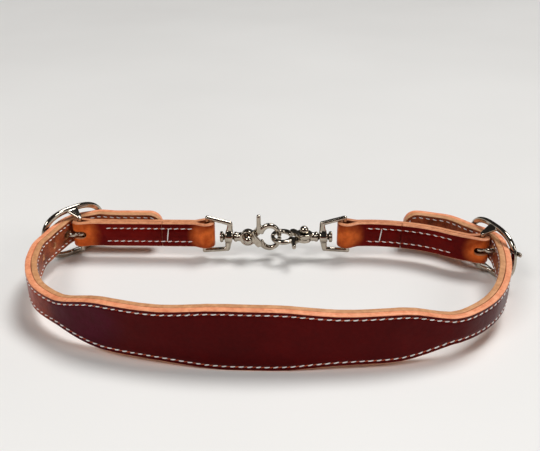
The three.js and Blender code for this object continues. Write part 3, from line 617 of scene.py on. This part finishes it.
def settle(obj):
    """Applies every modifier of obj."""
    bpy.context.view_layer.update()
    graph = bpy.context.evaluated_depsgraph_get()
    mesh = bpy.data.meshes.new_from_object(obj.evaluated_get(graph))
    obj.modifiers.clear()
    old = obj.data
    obj.data = mesh
    bpy.data.meshes.remove(old)
    mesh.name = obj.name


def modify(obj, kind, **settings):
    modifier = obj.modifiers.new(kind, kind)
    for name, value in settings.items():
        setattr(modifier, name, value)


def cut(obj, cutters, material, matrix=None):
    """Takes the cutter shells away from obj and gives the new faces a material."""
    tool = object_of("cutter", cutters, [material], matrix)
    modify(obj, "BOOLEAN", operation="DIFFERENCE", solver="EXACT", material_mode="TRANSFER",
           object=tool)
    settle(obj)
    bpy.data.objects.remove(tool)


def fuse(obj, smoothing):
    """Voxel remesh and smoothing, which leave the soft corners of a casting."""
    modify(obj, "REMESH", mode="VOXEL", voxel_size=VOXEL * MM, use_smooth_shade=True)
    modify(obj, "SMOOTH", factor=0.5, iterations=smoothing)
    settle(obj)


def cast(name, shells, matrix, holes=(), smoothing=7):
    """Overlapping shells fused into one casting, with its holes cut."""
    obj = object_of(name, shells, [NICKEL], matrix)
    fuse(obj, 0 if holes else smoothing)
    for hole in holes:
        cut(obj, [hole], NICKEL, matrix)
    if holes:
        fuse(obj, smoothing)
    return obj


def keep(obj, body, slot, *nodes):
    """Puts a finished piece on its body, in place of CAD nodes. slot is not used."""
    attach(obj, body)
    if nodes:
        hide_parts(*nodes)


# ---- routes in plan


class Route:
    """A centripetal Catmull-Rom curve through points, measured along its length."""

    STEPS = 40

    def __init__(self, points):
        ends = [2 * Vector(points[0]) - Vector(points[1]),
                2 * Vector(points[-1]) - Vector(points[-2])]
        run = [ends[0], *map(Vector, points), ends[1]]
        self.points = []
        for i in range(1, len(run) - 2):
            for k in range(self.STEPS):
                self.points.append(self.between(*run[i - 1:i + 3], k / self.STEPS))
        self.points.append(run[-2])
        self.marks = marks_along(self.points)
        self.length = self.marks[-1]

    @staticmethod
    def between(p0, p1, p2, p3, t):
        d0, d1, d2 = ((b - a).length ** 0.5 for a, b in ((p0, p1), (p1, p2), (p2, p3)))
        t1 = ((p1 - p0) / d0 - (p2 - p0) / (d0 + d1) + (p2 - p1) / d1) * d1
        t2 = ((p2 - p1) / d1 - (p3 - p1) / (d1 + d2) + (p3 - p2) / d2) * d1
        c2 = (p2 - p1) * 3 - t1 * 2 - t2
        c3 = (p1 - p2) * 2 + t1 + t2
        return p1 + t1 * t + c2 * t * t + c3 * t ** 3

    def at(self, distance):
        distance = min(max(distance, 0.0), self.length)
        high = min(bisect_right(self.marks, distance), len(self.marks) - 1)
        low = high - 1
        share = (distance - self.marks[low]) / (self.marks[high] - self.marks[low])
        return self.points[low].lerp(self.points[high], share)

    def ahead(self, distance):
        return (self.at(distance + 0.5) - self.at(distance - 0.5)).normalized()

    def out(self, distance):
        ahead = self.ahead(distance)
        return Vector((ahead.y, -ahead.x))

    def spot(self, distance, out, up):
        """A point beside the route, at a height above the strap's middle."""
        flat = self.at(distance) + self.out(distance) * out
        return Vector((*flat, MID_HEIGHT + up))

    def nearest(self, point):
        point = Vector(point)
        best = min(range(len(self.points)), key=lambda i: (self.points[i] - point).length)
        return self.marks[best]


def in_plan(place, along, out):
    turn = radians(place["turn"])
    return (place["x"] + along * cos(turn) - out * sin(turn),
            place["y"] + along * sin(turn) + out * cos(turn))


def billet_bend(place, alongs):
    bend_end = BILLET_BEND * sin(BILLET_SLOPE)
    run = []
    for along in alongs:
        in_bend = min(abs(along), bend_end)
        fall = BILLET_BEND - sqrt(BILLET_BEND ** 2 - in_bend ** 2)
        fall += (abs(along) - in_bend) * tan(BILLET_SLOPE)
        run.append(in_plan(place, along, BILLET_OUT - fall))
    return run


BODY = Route([*LEFT_TAIL, *billet_bend(LEFT_BUCKLE, BEND_POINTS), *BODY_FRONT,
              *billet_bend(RIGHT_BUCKLE, BEND_POINTS), *RIGHT_TAIL])
BODY_MIDDLE = min((abs(BODY.at(d).x - BODY_CENTRE_X), d)
                  for d in (BODY.length * (0.3 + 0.0005 * k) for k in range(800)))[1]


def body_half_width(distance):
    from_middle = abs(distance - BODY_MIDDLE)
    width = BILLET_WIDTH
    for (d0, w0), (d1, w1) in zip(BODY_PROFILE, BODY_PROFILE[1:]):
        if d0 <= from_middle <= d1:
            share = (from_middle - d0) / (d1 - d0)
            width = w0 + (w1 - w0) * share
    from_tip = min(distance, BODY.length - distance)
    if from_tip >= TIP_RADIUS:
        return width / 2
    return max(sqrt(max(TIP_RADIUS ** 2 - (TIP_RADIUS - from_tip) ** 2, 0)), TIP_END_HALF)


def seam_height(distance):
    """How far the body's stitch rows lie above and below its middle."""
    from_tip = min(distance, BODY.length - distance)
    if from_tip >= TIP_RADIUS:
        return body_half_width(distance) - SEAM_INSET
    return sqrt(max((TIP_RADIUS - SEAM_INSET) ** 2 - (TIP_RADIUS - from_tip) ** 2, 0))


# ---- leather strips


def face_heights(reach, row):
    """Heights of a face's points, closer together across its stitch rows."""
    ups = [reach * (2 * k / FACE_STEPS - 1) for k in range(FACE_STEPS + 1)]
    if GROOVE_HALF < row < reach - GROOVE_HALF:
        ups += [side * row + step * GROOVE_HALF for side in (-1, 1) for step in GROOVE_STEPS]
    else:
        ups += [reach * (0.05 + 0.08 * k) for k in range(2 * len(GROOVE_STEPS))]
    return sorted(ups)


def groove(up, row):
    return GROOVE_DEPTH * max(1 - ((abs(up) - row) / GROOVE_HALF) ** 2, 0) if row else 0


def strip_section(low, high, half, row, low_round, high_round):
    """A strip's section as (out, up, part): part 0 is its high face, 1 an edge, 2 its low face."""
    section = [(high - groove(up, row), up, 0) for up in face_heights(half - high_round, row)]
    near = (high - high_round, high_round, 0)
    far = (low + low_round, low_round, 2)
    for sign, corners in ((1, (near, far)), (-1, (far, near))):
        start = 0 if sign > 0 else 180
        for (out, radius, part), steps in zip(corners, ((1, 2, 3, 4), (4, 5, 6, 7))):
            for k in steps:
                angle = radians(start + 22.5 * k)
                section.append((out + radius * cos(angle),
                                sign * (half - radius) + radius * sin(angle),
                                part if abs(k - 4) > 2 else 1))
        if sign > 0:
            section += [(low + groove(up, row), up, 2)
                        for up in reversed(face_heights(half - low_round, row))]
    return section


def unevenness(point, part):
    """Small waves of hand-worked leather, in millimetres."""
    slow = noise.noise(point * SLOW_WAVE[0] + Vector((part * 7.0, 0, 0)))
    quick = noise.noise(point * QUICK_WAVE[0] + Vector((0, part * 3.0, 0)))
    return slow * SLOW_WAVE[1] + quick * QUICK_WAVE[1]


def strip(name, spots, sections, materials):
    """A leather strip. spots are (centre, out) in plan, with one section for each."""
    rings = []
    for (centre, out), section in zip(spots, sections):
        ring = []
        for side, up, part in section:
            point = centre + out * side + Vector((0, 0, up))
            wave = unevenness(point, part)
            point += Vector((0, 0, wave * EDGE_WAVE)) if part == 1 else out * wave
            point.z = max(point.z, FLOOR_CLEARANCE)
            ring.append(point)
        rings.append(ring)
    points, faces = shell(rings)
    sides = len(rings[0])
    parts = [part for _, _, part in sections[0]]
    slots = list(dict.fromkeys(materials))
    slot_of = [slots.index(material) for material in materials]
    looks = []
    for number in range(len(faces) - 2):
        pair = {parts[number % sides], parts[(number + 1) % sides]}
        looks.append(slot_of[1 if len(pair) > 1 else pair.pop()])
    return object_of(name, [(points, faces)], slots, face_material=looks + [slot_of[1]] * 2)


def punch(centre, along, out, half_length, radius):
    """A cutter with round ends, through a strip along out."""
    along = Vector(along)
    across = out.cross(along).normalized()
    outline = []
    for end in (1, -1):
        for k in range(13):
            angle = pi * (k / 12 - 0.5)
            outline.append(along * end * (half_length + radius * cos(angle))
                           + across * end * radius * sin(angle))
    return shell([[centre + out * CUTTER_REACH * side + point for point in outline]
                  for side in (-1, 1)])


# ---- the body strap


def between_tips(step):
    """Distances along the body between its round tips, about a step apart."""
    straight = BODY.length - 2 * TIP_RADIUS
    return [TIP_RADIUS + d for d in steps_to(straight, int(straight / step))]


def flat_out(route, distance):
    return Vector((*route.out(distance), 0))


def body_layer(name, low, high, low_round, high_round, materials):
    stations = [*TIP_STATIONS, *between_tips(STATION_PITCH),
                *(BODY.length - d for d in reversed(TIP_STATIONS))]
    spots = [(BODY.spot(d, 0, 0), flat_out(BODY, d)) for d in stations]
    sections = []
    for d in stations:
        half = body_half_width(d)
        limit = min(1.0, half / SLIM_HALF)
        sections.append(strip_section(low, high, half, seam_height(d),
                                      low_round * limit, high_round * limit))
    return strip(name, spots, sections, materials)


def billet_holes(place):
    """Cutters for the spare holes, and for the worn one that the tongue is through."""
    middle = BODY.nearest(billet_bend(place, [HOLE_IN_USE * place["towards"]])[0])
    holes = []
    for i in range(-HOLES_EACH_SIDE, HOLES_EACH_SIDE + 1):
        d = middle + i * HOLE_PITCH
        height, size = 0, (SPARE_STRETCH, HOLE_RADIUS)
        if i == 0:
            rise = tan(radians(place["tilt"]))
            height = FRAME_FOOT - MID_HEIGHT + place["lift"] + HOLE_IN_USE * rise
            size = (HOLE_STRETCH, WORN_HOLE_RADIUS)
        ahead = Vector((*BODY.ahead(d), 0))
        holes.append(punch(BODY.spot(d, 0, height), ahead, flat_out(BODY, d), *size))
    return holes


def make_body():
    holes = billet_holes(LEFT_BUCKLE) + billet_holes(RIGHT_BUCKLE)
    outer = body_layer("outer_leather_layer", GAP / 2, LAYER + GAP / 2, INNER_ROUND, EDGE_ROUND,
                       [OUTER, OUTER_EDGE, OUTER_EDGE])
    lining = body_layer("lining_leather_layer", -LAYER - GAP / 2, -GAP / 2, EDGE_ROUND,
                        INNER_ROUND, [LINING_EDGE, LINING_EDGE, LINING])
    cut(outer, holes, OUTER_EDGE)
    cut(lining, holes, LINING_EDGE)
    keep(outer, "strap", "outer_leather", "body_outer")
    keep(lining, "strap", "lining_leather", "body_lining")


# ---- stitches


def bead(centre, ahead, normal, length, width, height, sides=10):
    """One stitch: a slim rounded bar that dives into the leather at both ends."""
    side = normal.cross(ahead).normalized()
    ahead = side.cross(normal).normalized()
    rings = []
    for along, size in STITCH_PROFILE:
        rise = STITCH_STAND - STITCH_DIVE * along * along
        middle = centre + ahead * along * length + normal * height * rise
        rings.append([middle + side * width / 2 * size * cos(a)
                      + normal * height / 2 * size * sin(a) for a in turns(sides)])
    return shell(rings)


def stitch_run(run, route, face):
    """Stitches evenly along a run of points on one face of a route's strap, and the awl slits
    between them."""
    marks = marks_along(run)
    count = max(round(marks[-1] / STITCH_PITCH), 1)
    pitch = marks[-1] / count
    beads, slits = [], []
    k = 0
    for i in range(count):
        mark = pitch * (i + 0.5)
        while marks[k + 1] < mark:
            k += 1
        centre = run[k].lerp(run[k + 1], (mark - marks[k]) / (marks[k + 1] - marks[k]))
        ahead = (run[k + 1] - run[k]).normalized()
        normal = flat_out(route, route.nearest(centre.xy)) * face
        slant = STITCH_SLANT * face * random.uniform(*SLANT_SPREAD)
        turned = Matrix.Rotation(slant, 3, normal) @ ahead
        length = STITCH_LENGTH * random.uniform(*LENGTH_SPREAD)
        beads.append(bead(centre, turned, normal, length, STITCH_WIDTH, STITCH_HEIGHT))
        across_row = Matrix.Rotation(SLIT_SLANT, 3, normal) @ ahead
        slits.append(bead(centre + ahead * pitch / 2, across_row, normal,
                          SLIT_LENGTH, SLIT_WIDTH, SLIT_HEIGHT, 8))
    return beads, slits


def keep_seam(name, body, leather, route, runs, extra=()):
    """The stitches of a row on both faces as one piece, and their slits as another."""
    beads, slits = [], []
    for face, run in runs:
        more_beads, more_slits = stitch_run(run, route, face)
        beads += more_beads
        slits += more_slits
    stitches = object_of(f"{name}_stitches", [*beads, *extra], [THREAD])
    keep(stitches, body, "white_thread", f"{name}_thread")
    keep(object_of(f"{name}_slits", slits, [SLIT]), body, leather)


def body_row(side, face):
    """One body row on one face, round both tips."""
    level = face * (LAYER + GAP / 2 - GROOVE_DEPTH)
    arc = TIP_RADIUS - SEAM_INSET
    tip = [(TIP_RADIUS - arc * cos(a), arc * sin(a)) for a in steps_to(pi / 2, 8)[:-1]]
    stops = tip + [(d, seam_height(d)) for d in between_tips(ROW_STEP)]
    stops += [(BODY.length - d, up) for d, up in reversed(tip)]
    return [BODY.spot(d, level, side * up) for d, up in stops]


def make_body_stitches():
    for side, name in ((1, "top"), (-1, "bottom")):
        keep_seam(f"{name}_seam", "strap", "outer_leather", BODY,
                  [(face, body_row(side, face)) for face in (1, -1)])


# ---- tugs


def tug_half(tug, d):
    """Half the distance between the middles of a tug's two runs."""
    flat = (TUG_LAYER + GAP) / 2

    def ease(share):
        share = max(share, 0)
        return share * share * (3 - 2 * share)

    near_buckle = ease(1 - d / FOLD_SPREAD)
    near_snap = ease(1 - (tug.length - d) / FOLD_SPREAD)
    return flat + (BUCKLE_FOLD - flat) * near_buckle + (SNAP_FOLD - flat) * near_snap


def tug_run(tug, start, end, count, sign):
    """(point, distance) at even steps along one of a tug's two runs."""
    return [(tug.spot(d, tug_half(tug, d) * sign, 0), d)
            for d in (start + step for step in steps_to(end - start, count))]


def tug_fold(tug, d, radius, inner, forwards):
    centre = tug.spot(d, 0, 0)
    ahead = Vector((*tug.ahead(d), 0)) * forwards
    side = Vector((ahead.y, -ahead.x, 0)) * -inner
    return [(centre + side * radius * cos(a) + ahead * radius * sin(a), 0)
            for a in steps_to(pi, FOLD_STEPS)[1:-1]]


def make_tug(name, tug, seam, inner):
    """One strip folded round the buckle's bar and the eye's bar, with its ends butted."""
    path = [
        *tug_run(tug, seam - GAP / 2, 0, SEAM_TO_BUCKLE_STEPS, inner),
        *tug_fold(tug, 0, BUCKLE_FOLD, inner, -1),
        *tug_run(tug, 0, tug.length, OUTER_RUN_STEPS, -inner),
        *tug_fold(tug, tug.length, SNAP_FOLD, inner, 1),
        *tug_run(tug, tug.length, seam + GAP / 2, SNAP_TO_SEAM_STEPS, inner),
    ]
    half = TUG_LAYER / 2
    looks = [TUG_GRAIN, TUG_EDGE, LINING]
    rounds = (INNER_ROUND, EDGE_ROUND)
    if inner > 0:
        looks.reverse()
        rounds = (EDGE_ROUND, INNER_ROUND)
    spots, sections = [], []
    for i, (centre, d) in enumerate(path):
        before = path[max(i - 1, 0)][0]
        after = path[min(i + 1, len(path) - 1)][0]
        ahead = (after - before).normalized()
        spots.append((centre, Vector((ahead.y, -ahead.x, 0))))
        row = STRAP_WIDTH / 2 - TUG_SEAM_INSET if TUG_ROW[0] < d < TUG_ROW[1] else 0
        sections.append(strip_section(-half, half, STRAP_WIDTH / 2, row, *rounds))
    leather = strip(f"{name}_tug_leather", spots, sections, looks)
    ahead = Vector((*tug.ahead(0), 0))
    slot_middle = tug.spot(0, 0, 0) + ahead * (SLOT_PAST_BAR - SLOT_LENGTH / 2)
    cut(leather, [punch(slot_middle, ahead, flat_out(tug, 0), (SLOT_LENGTH - SLOT_HEIGHT) / 2,
                        SLOT_HEIGHT / 2)], TUG_EDGE)
    keep(leather, f"{name}_tug", "tug_leather", f"{name}_tug")


def make_tug_stitches(name, tug, inner, cross_at):
    """The rows that close a tug's two runs, with one long stitch across where its ends meet."""
    level = TUG_LAYER + GAP / 2
    d = tug.nearest((cross_at, CLOSURE_Y))
    cross = bead(tug.spot(d, inner * level, 0), CROSS_LEAN, flat_out(tug, d) * inner,
                 CROSS_LENGTH, STITCH_WIDTH, STITCH_HEIGHT)
    first, last = TUG_ROW
    marks = [first + step for step in steps_to(last - first, TUG_ROW_STEPS)]
    for side, row, extra in ((1, "top", [cross]), (-1, "bottom", [])):
        up = side * (STRAP_WIDTH / 2 - TUG_SEAM_INSET)
        runs = [(face, [tug.spot(d, face * (level - GROOVE_DEPTH), up) for d in marks])
                for face in (1, -1)]
        keep_seam(f"{name}_tug_{row}", f"{name}_tug", "tug_leather", tug, runs, extra)


# ---- buckles


def buckle_matrix(place):
    return (Matrix.Translation((place["x"], place["y"], FRAME_FOOT))
            @ Matrix.Rotation(radians(place["turn"]), 4, "Z"))


def oval_path(length, height):
    return [(squared(cos(a), FRAME_SQUARENESS) * length / 2, 0,
             squared(sin(a), FRAME_SQUARENESS) * height / 2) for a in turns(96)]


def buckle_arm(side):
    """A three-cornered web from the rim down to one end of the bar."""
    path, sizes = [], []
    for share in steps_to(1, 10):
        path.append((0, ARM_TOP - share * ARM_DROP,
                     side * (ARM_ROOT_HEIGHT - ARM_LEAN * share)))
        sizes.append((ARM_ROOT_HALF - ARM_TAPER * share ** 0.8,
                      ARM_HALF_THICKNESS + ARM_SWELL * share))
    return tube(path, sizes, (0, ARM_LEAN, side * -BAR_DROP), power=ARM_SQUARENESS)


def make_frame(name, place):
    rim = tube(oval_path(FRAME_LENGTH - FRAME_RIM, FRAME_HEIGHT - FRAME_RIM),
               (FRAME_RIM / 2 + CAST_EXTRA, FRAME_THICKNESS / 2 + CAST_EXTRA), (0, 1, 0),
               closed=True, power=WIRE_SQUARENESS)
    bar_radius = BAR_RADIUS + CAST_EXTRA / 2
    bar = tube([(0, -BAR_DROP, -BAR_REACH), (0, -BAR_DROP, BAR_REACH)],
               (bar_radius, bar_radius), (0, 1, 0))
    frame_piece = cast(f"{name}_buckle_casting", [rim, bar, buckle_arm(1), buckle_arm(-1)],
                       buckle_matrix(place))
    for vertex in frame_piece.data.vertices:
        vertex.co.z = max(vertex.co.z, 0.0)
    keep(frame_piece, "strap", "plated_steel", f"{name}_buckle_frame")


def make_tongue(name, place):
    """A curl round the bar, and a blade through the billet that rests on the rim."""
    around = BAR_RADIUS + TONGUE_PLAY + TONGUE_CURL / 2
    ring = [(around * cos(a), around * sin(a) - BAR_DROP, 0) for a in turns(32)]
    curl = tube(ring, (TONGUE_HEIGHT / 2, TONGUE_CURL / 2 + CAST_EXTRA), (0, 0, 1), closed=True,
                flat=True)
    blade_route = Route(BLADE)
    path, sizes = [], []
    for d in steps_to(blade_route.length, BLADE_STEPS):
        spot = blade_route.at(d)
        path.append((spot.x, spot.y, 0))
        end = max(1 - (blade_route.length - d) / BLADE_TIP, 0)
        round_off = sqrt(max(1 - end * end, 0.02))
        sizes.append((TONGUE_HEIGHT / 2 * round_off,
                      (TONGUE_THICKNESS / 2 + CAST_EXTRA / 2) * round_off))
    blade = tube(path, sizes, (0, 0, 1), flat=True, power=WIRE_SQUARENESS)
    turn = Matrix.Rotation(pi, 4, "Y") if place["towards"] < 0 else Matrix.Identity(4)
    matrix = (buckle_matrix(place) @ Matrix.Translation((0, -BAR_DROP, place["lift"])) @ turn
              @ Matrix.Rotation(-radians(place["tilt"]), 4, "Y")
              @ Matrix.Translation((0, BAR_DROP, 0)))
    keep(cast(f"{name}_tongue_casting", [curl, blade], matrix, smoothing=5),
         f"{name}_tongue", "plated_steel", f"{name}_buckle_tongue")


# ---- snaps


def make_eye(name, x, turn):
    """The eye that holds the leather, with a round boss for the swivel stem."""
    bar_end, band_end, band = EYE_BAR_HALF, EYE_BAND_HALF, EYE_BAND_AT
    shells = [tube([(0, 0, -bar_end), (0, 0, bar_end)], (EYE_BAR_RADIUS, EYE_BAR_RADIUS),
                   (0, 1, 0))]
    for side in (1, -1):
        shells.append(tube([(0, 0, side * bar_end), (band, 0, side * band_end)],
                           EYE_SIDE, (0, 1, 0)))
        for end, height in ((0, bar_end), (band, band_end)):
            shells.append(ball((end, 0, side * height), EYE_CORNER))
    heights = (-band_end, -EYE_BAND_BULGE, EYE_BAND_BULGE, band_end)
    shells.append(tube([(band, 0, height) for height in heights],
                       [EYE_BAND_END, EYE_BAND_MIDDLE, EYE_BAND_MIDDLE, EYE_BAND_END], (0, 1, 0)))
    boss_in, *boss_shape = EYE_BOSS
    shells.append(rounded_disc(band - boss_in, *boss_shape))
    matrix = (Matrix.Translation((x, CLOSURE_Y, MID_HEIGHT - EYE_DROP))
              @ Matrix.Rotation(turn, 4, "Z") @ Matrix.Rotation(radians(EYE_TILT), 4, "Y"))
    bore = lathe((band - BORE_REACH, 0, 0), (1, 0, 0),
                 [(0, STEM_BORE), (2 * BORE_REACH, STEM_BORE)])
    keep(cast(f"{name}_eye_casting", shells, matrix, holes=[bore]),
         f"{name}_eye", "plated_steel", f"{name}_snap_eye")


def ball(centre, radius):
    return lathe(centre, (0, 0, 1), [(-radius * cos(a), max(radius * sin(a), 0.02))
                                     for a in steps_to(pi, 12)], 20)


def jaw_arc(side):
    """Half of the jaw ring, which thickens to its root and thins a little to its nose."""
    half_x = SNAP_REACH - RING_AT - JAW_WIRE / 2
    half_z = (JAW_HEIGHT - JAW_WIRE) / 2
    path, sizes = [], []
    for angle in (JAW_FROM + a for a in steps_to(JAW_SWEEP, JAW_STEPS)):
        root = max(angle - NOSE_TO, 0) / ROOT_SWEEP
        reach = 1 - ROOT_PULL * root
        path.append((RING_AT + half_x * reach * cos(angle), 0,
                     side * half_z * reach * sin(angle)))
        thin = 1 - NOSE_THINNING * max(1 - angle / NOSE_TO, 0)
        half = JAW_WIRE / 2 * thin + CAST_EXTRA
        sizes.append((half + ROOT_GROWTH * root, half))
    return tube(path, sizes, (0, 1, 0), power=WIRE_SQUARENESS)


def cheek(side):
    """A plate in outline: most of a disc round the pivot, and a broad arm to the jaw ring."""
    radius = TRIGGER_BOSS if side > 0 else BOSS_RADIUS
    outline = [(PIVOT_AT + radius * cos(a), -side * radius * sin(a))
               for a in (CHEEK_FROM + step for step in steps_to(CHEEK_SWEEP, CHEEK_STEPS))]
    outline += [(RING_AT - before, side * up) for before, up in CHEEK_ARM]
    levels = sorted((side * (CHEEK + GAP / 2), side * GAP / 2))
    return shell([[(x, y, z) for x, z in outline] for y in levels])


def boss_ring(side, radius):
    """The raised border of a boss, which leaves a dish round the pivot."""
    level = side * (CHEEK + GAP / 2 - BOSS_RING_SUNK)
    path = [(PIVOT_AT + radius * cos(a), level, radius * sin(a)) for a in turns(40)]
    return tube(path, BOSS_RING, (0, 1, 0), closed=True)


def pivot_cutter(radius, start, end):
    return lathe((PIVOT_AT, start, 0), (0, 1, 0), [(0, radius), (end - start, radius)], 48)


def make_snap_body(name, matrix):
    neck = [(NECK_FROM + past, radius) for past, radius in NECK_PROFILE]
    shells = [
        rounded_disc(STEM_HEAD_FACE - STEM_HEAD[0], *STEM_HEAD),
        lathe((0, 0, 0), (1, 0, 0), [(STEM_HEAD_FACE - STEM_IN_HEAD, STEM_RADIUS),
                                     (NECK_FROM, STEM_RADIUS), *neck]),
        cheek(-1),
        boss_ring(-1, BOSS_RADIUS - BOSS_RING_INSET),
        jaw_arc(-1),
    ]
    holes = [pivot_cutter(TRIGGER_BOSS + GAP, -GAP / 2, BOSS_CLEARANCE),
             pivot_cutter(RIVET_RADIUS + GAP, -PAST_CHEEKS, PAST_CHEEKS)]
    keep(cast(f"{name}_snap_casting", shells, matrix, holes=holes),
         f"{name}_snap", "plated_steel", f"{name}_snap_body")


def make_trigger(name, matrix):
    x = PIVOT_AT + LEVER_PAST_PIVOT
    lever = tube([(x + lean, 0, height) for lean, height, _, _ in LEVER],
                 [(wide, deep) for _, _, wide, deep in LEVER], (0, 1, 0), power=LEVER_SQUARENESS)
    holes = [pivot_cutter(BOSS_RADIUS + GAP, -BOSS_CLEARANCE, GAP / 2),
             pivot_cutter(RIVET_RADIUS + GAP, -PAST_CHEEKS, PAST_CHEEKS),
             pivot_cutter(POCKET_RADIUS, *POCKET_SPAN)]
    keep(cast(f"{name}_trigger_casting", [cheek(1), jaw_arc(1), lever], matrix, holes=holes),
         f"{name}_trigger", "plated_steel", f"{name}_snap_trigger")


def make_rivet(name, matrix):
    """The pivot: a ball head, a shank and a peened tail."""
    face = CHEEK + GAP * 1.5
    middle = face + BALL_RADIUS * BALL_STAND
    head = [(middle + BALL_RADIUS * cos(a), max(BALL_RADIUS * sin(a), 0.05))
            for a in steps_to(pi, 14)]
    profile = [(-along, radius) for along, radius in head if along > face]
    profile += [(-face, BALL_SEAT), (-face + 0.05, RIVET_RADIUS), (face - 0.05, RIVET_RADIUS)]
    profile += [(face + past, radius) for past, radius in TAIL_PROFILE]
    piece = object_of(f"{name}_pivot_rivet", [lathe((PIVOT_AT, 0, 0), (0, 1, 0), profile, 40)],
                      [NICKEL], matrix)
    modify(piece, "BEVEL", width=RIVET_SOFTNESS * MM, segments=2)
    settle(piece)
    keep(piece, f"{name}_snap", "plated_steel", f"{name}_snap_rivet")


def make_snap(name, matrix):
    make_snap_body(name, matrix)
    make_trigger(name, matrix)
    make_rivet(name, matrix)
    spring = NODES[f"{name}_trigger_spring"].data
    spring.materials.clear()
    spring.materials.append(WIRE)


# ---- floor, light and camera


def make_floor():
    mesh = bpy.data.meshes.new("floor")
    corners = [(x * FLOOR_REACH, y * FLOOR_REACH, 0)
               for x, y in ((-1, -1), (1, -1), (1, 1), (-1, 1))]
    mesh.from_pydata(corners, [], [(0, 1, 2, 3)])
    mesh.materials.append(pale_floor("pale_floor"))
    floor = placed("floor", mesh)


def ceiling(name, place, power, spread):
    """An even light from one side of the sky, which reaches the far floor too."""
    data = bpy.data.lights.new(name, "SUN")
    data.energy = power
    data.angle = spread
    placed(name, data).rotation_euler = Vector(place).to_track_quat("Z", "Y").to_euler()


def softbox(name, place, size, power):
    data = bpy.data.lights.new(name, "AREA")
    data.shape = "RECTANGLE"
    data.size, data.size_y = size
    data.energy = power
    light = placed(name, data)
    light.location = place
    towards = Vector(LIT_POINT) - Vector(place)
    light.rotation_euler = towards.to_track_quat("-Z", "Y").to_euler()


def make_light():
    world = bpy.data.worlds.new("studio")
    bpy.context.scene.world = world
    world.use_nodes = True
    tree = world.node_tree
    coords = tree.nodes.new("ShaderNodeTexCoord")
    split = tree.nodes.new("ShaderNodeSeparateXYZ")
    tree.links.new(coords.outputs["Generated"], split.inputs[0])
    ramp = tree.nodes.new("ShaderNodeValToRGB")
    set_stops(ramp, [(height, (grey, grey * 0.985, grey * 0.96, 1)) for height, grey in SKY])
    tree.links.new(split.outputs["Z"], ramp.inputs["Fac"])
    tree.links.new(ramp.outputs["Color"], tree.nodes["Background"].inputs["Color"])
    softbox("key", (0.75, 0.65, 2.2), (1.1, 0.9), 12)
    softbox("fill", (-1.1, -1.25, 1.8), (0.9, 0.7), 21)
    ceiling("ceiling", (0.75, 0.65, 2.2), 1.6, radians(24))
    softbox("side", (1.9, -0.9, 1.3), (0.5, 0.9), 11)


def make_camera():
    data = bpy.data.cameras.new("camera")
    data.sensor_width = 36
    data.lens = CAMERA_LENS
    camera = placed("camera", data)
    camera.location = to_row(CAMERA_AT)
    camera.rotation_euler = (CAMERA_TILT, 0, 0)
    bpy.context.scene.camera = camera
    bpy.context.scene.view_settings.view_transform = "Standard"


# ---- the whole strap

random.seed(7)
make_camera()
make_floor()
make_light()
make_body()
make_body_stitches()
LEFT_TUG = Route([in_plan(LEFT_BUCKLE, 0, -BAR_DROP), *LEFT_TUG_MIDDLE,
                  (LEFT_EYE_X, CLOSURE_Y)])
RIGHT_TUG = Route([in_plan(RIGHT_BUCKLE, 0, -BAR_DROP), *RIGHT_TUG_MIDDLE,
                   (RIGHT_EYE_X, CLOSURE_Y)])
make_tug("left", LEFT_TUG, LEFT_TUG_SEAM, 1)
make_tug("right", RIGHT_TUG, RIGHT_TUG_SEAM, -1)
make_tug_stitches("left", LEFT_TUG, 1, -75.5)
make_tug_stitches("right", RIGHT_TUG, -1, 82)
for side, place in (("left", LEFT_BUCKLE), ("right", RIGHT_BUCKLE)):
    make_frame(side, place)
    make_tongue(side, place)
make_eye("left", LEFT_EYE_X, 0)
make_eye("right", RIGHT_EYE_X, pi)
END_FOR_END = Matrix(((-1, 0, 0, 0), (0, 0, -1, 0), (0, -1, 0, 0), (0, 0, 0, 1)))
make_snap("left", Matrix.Translation((LEFT_EYE_X, CLOSURE_Y, CLOSURE_HEIGHT)))
make_snap("right", Matrix.Translation((RIGHT_EYE_X, CLOSURE_Y, CLOSURE_HEIGHT)) @ END_FOR_END)
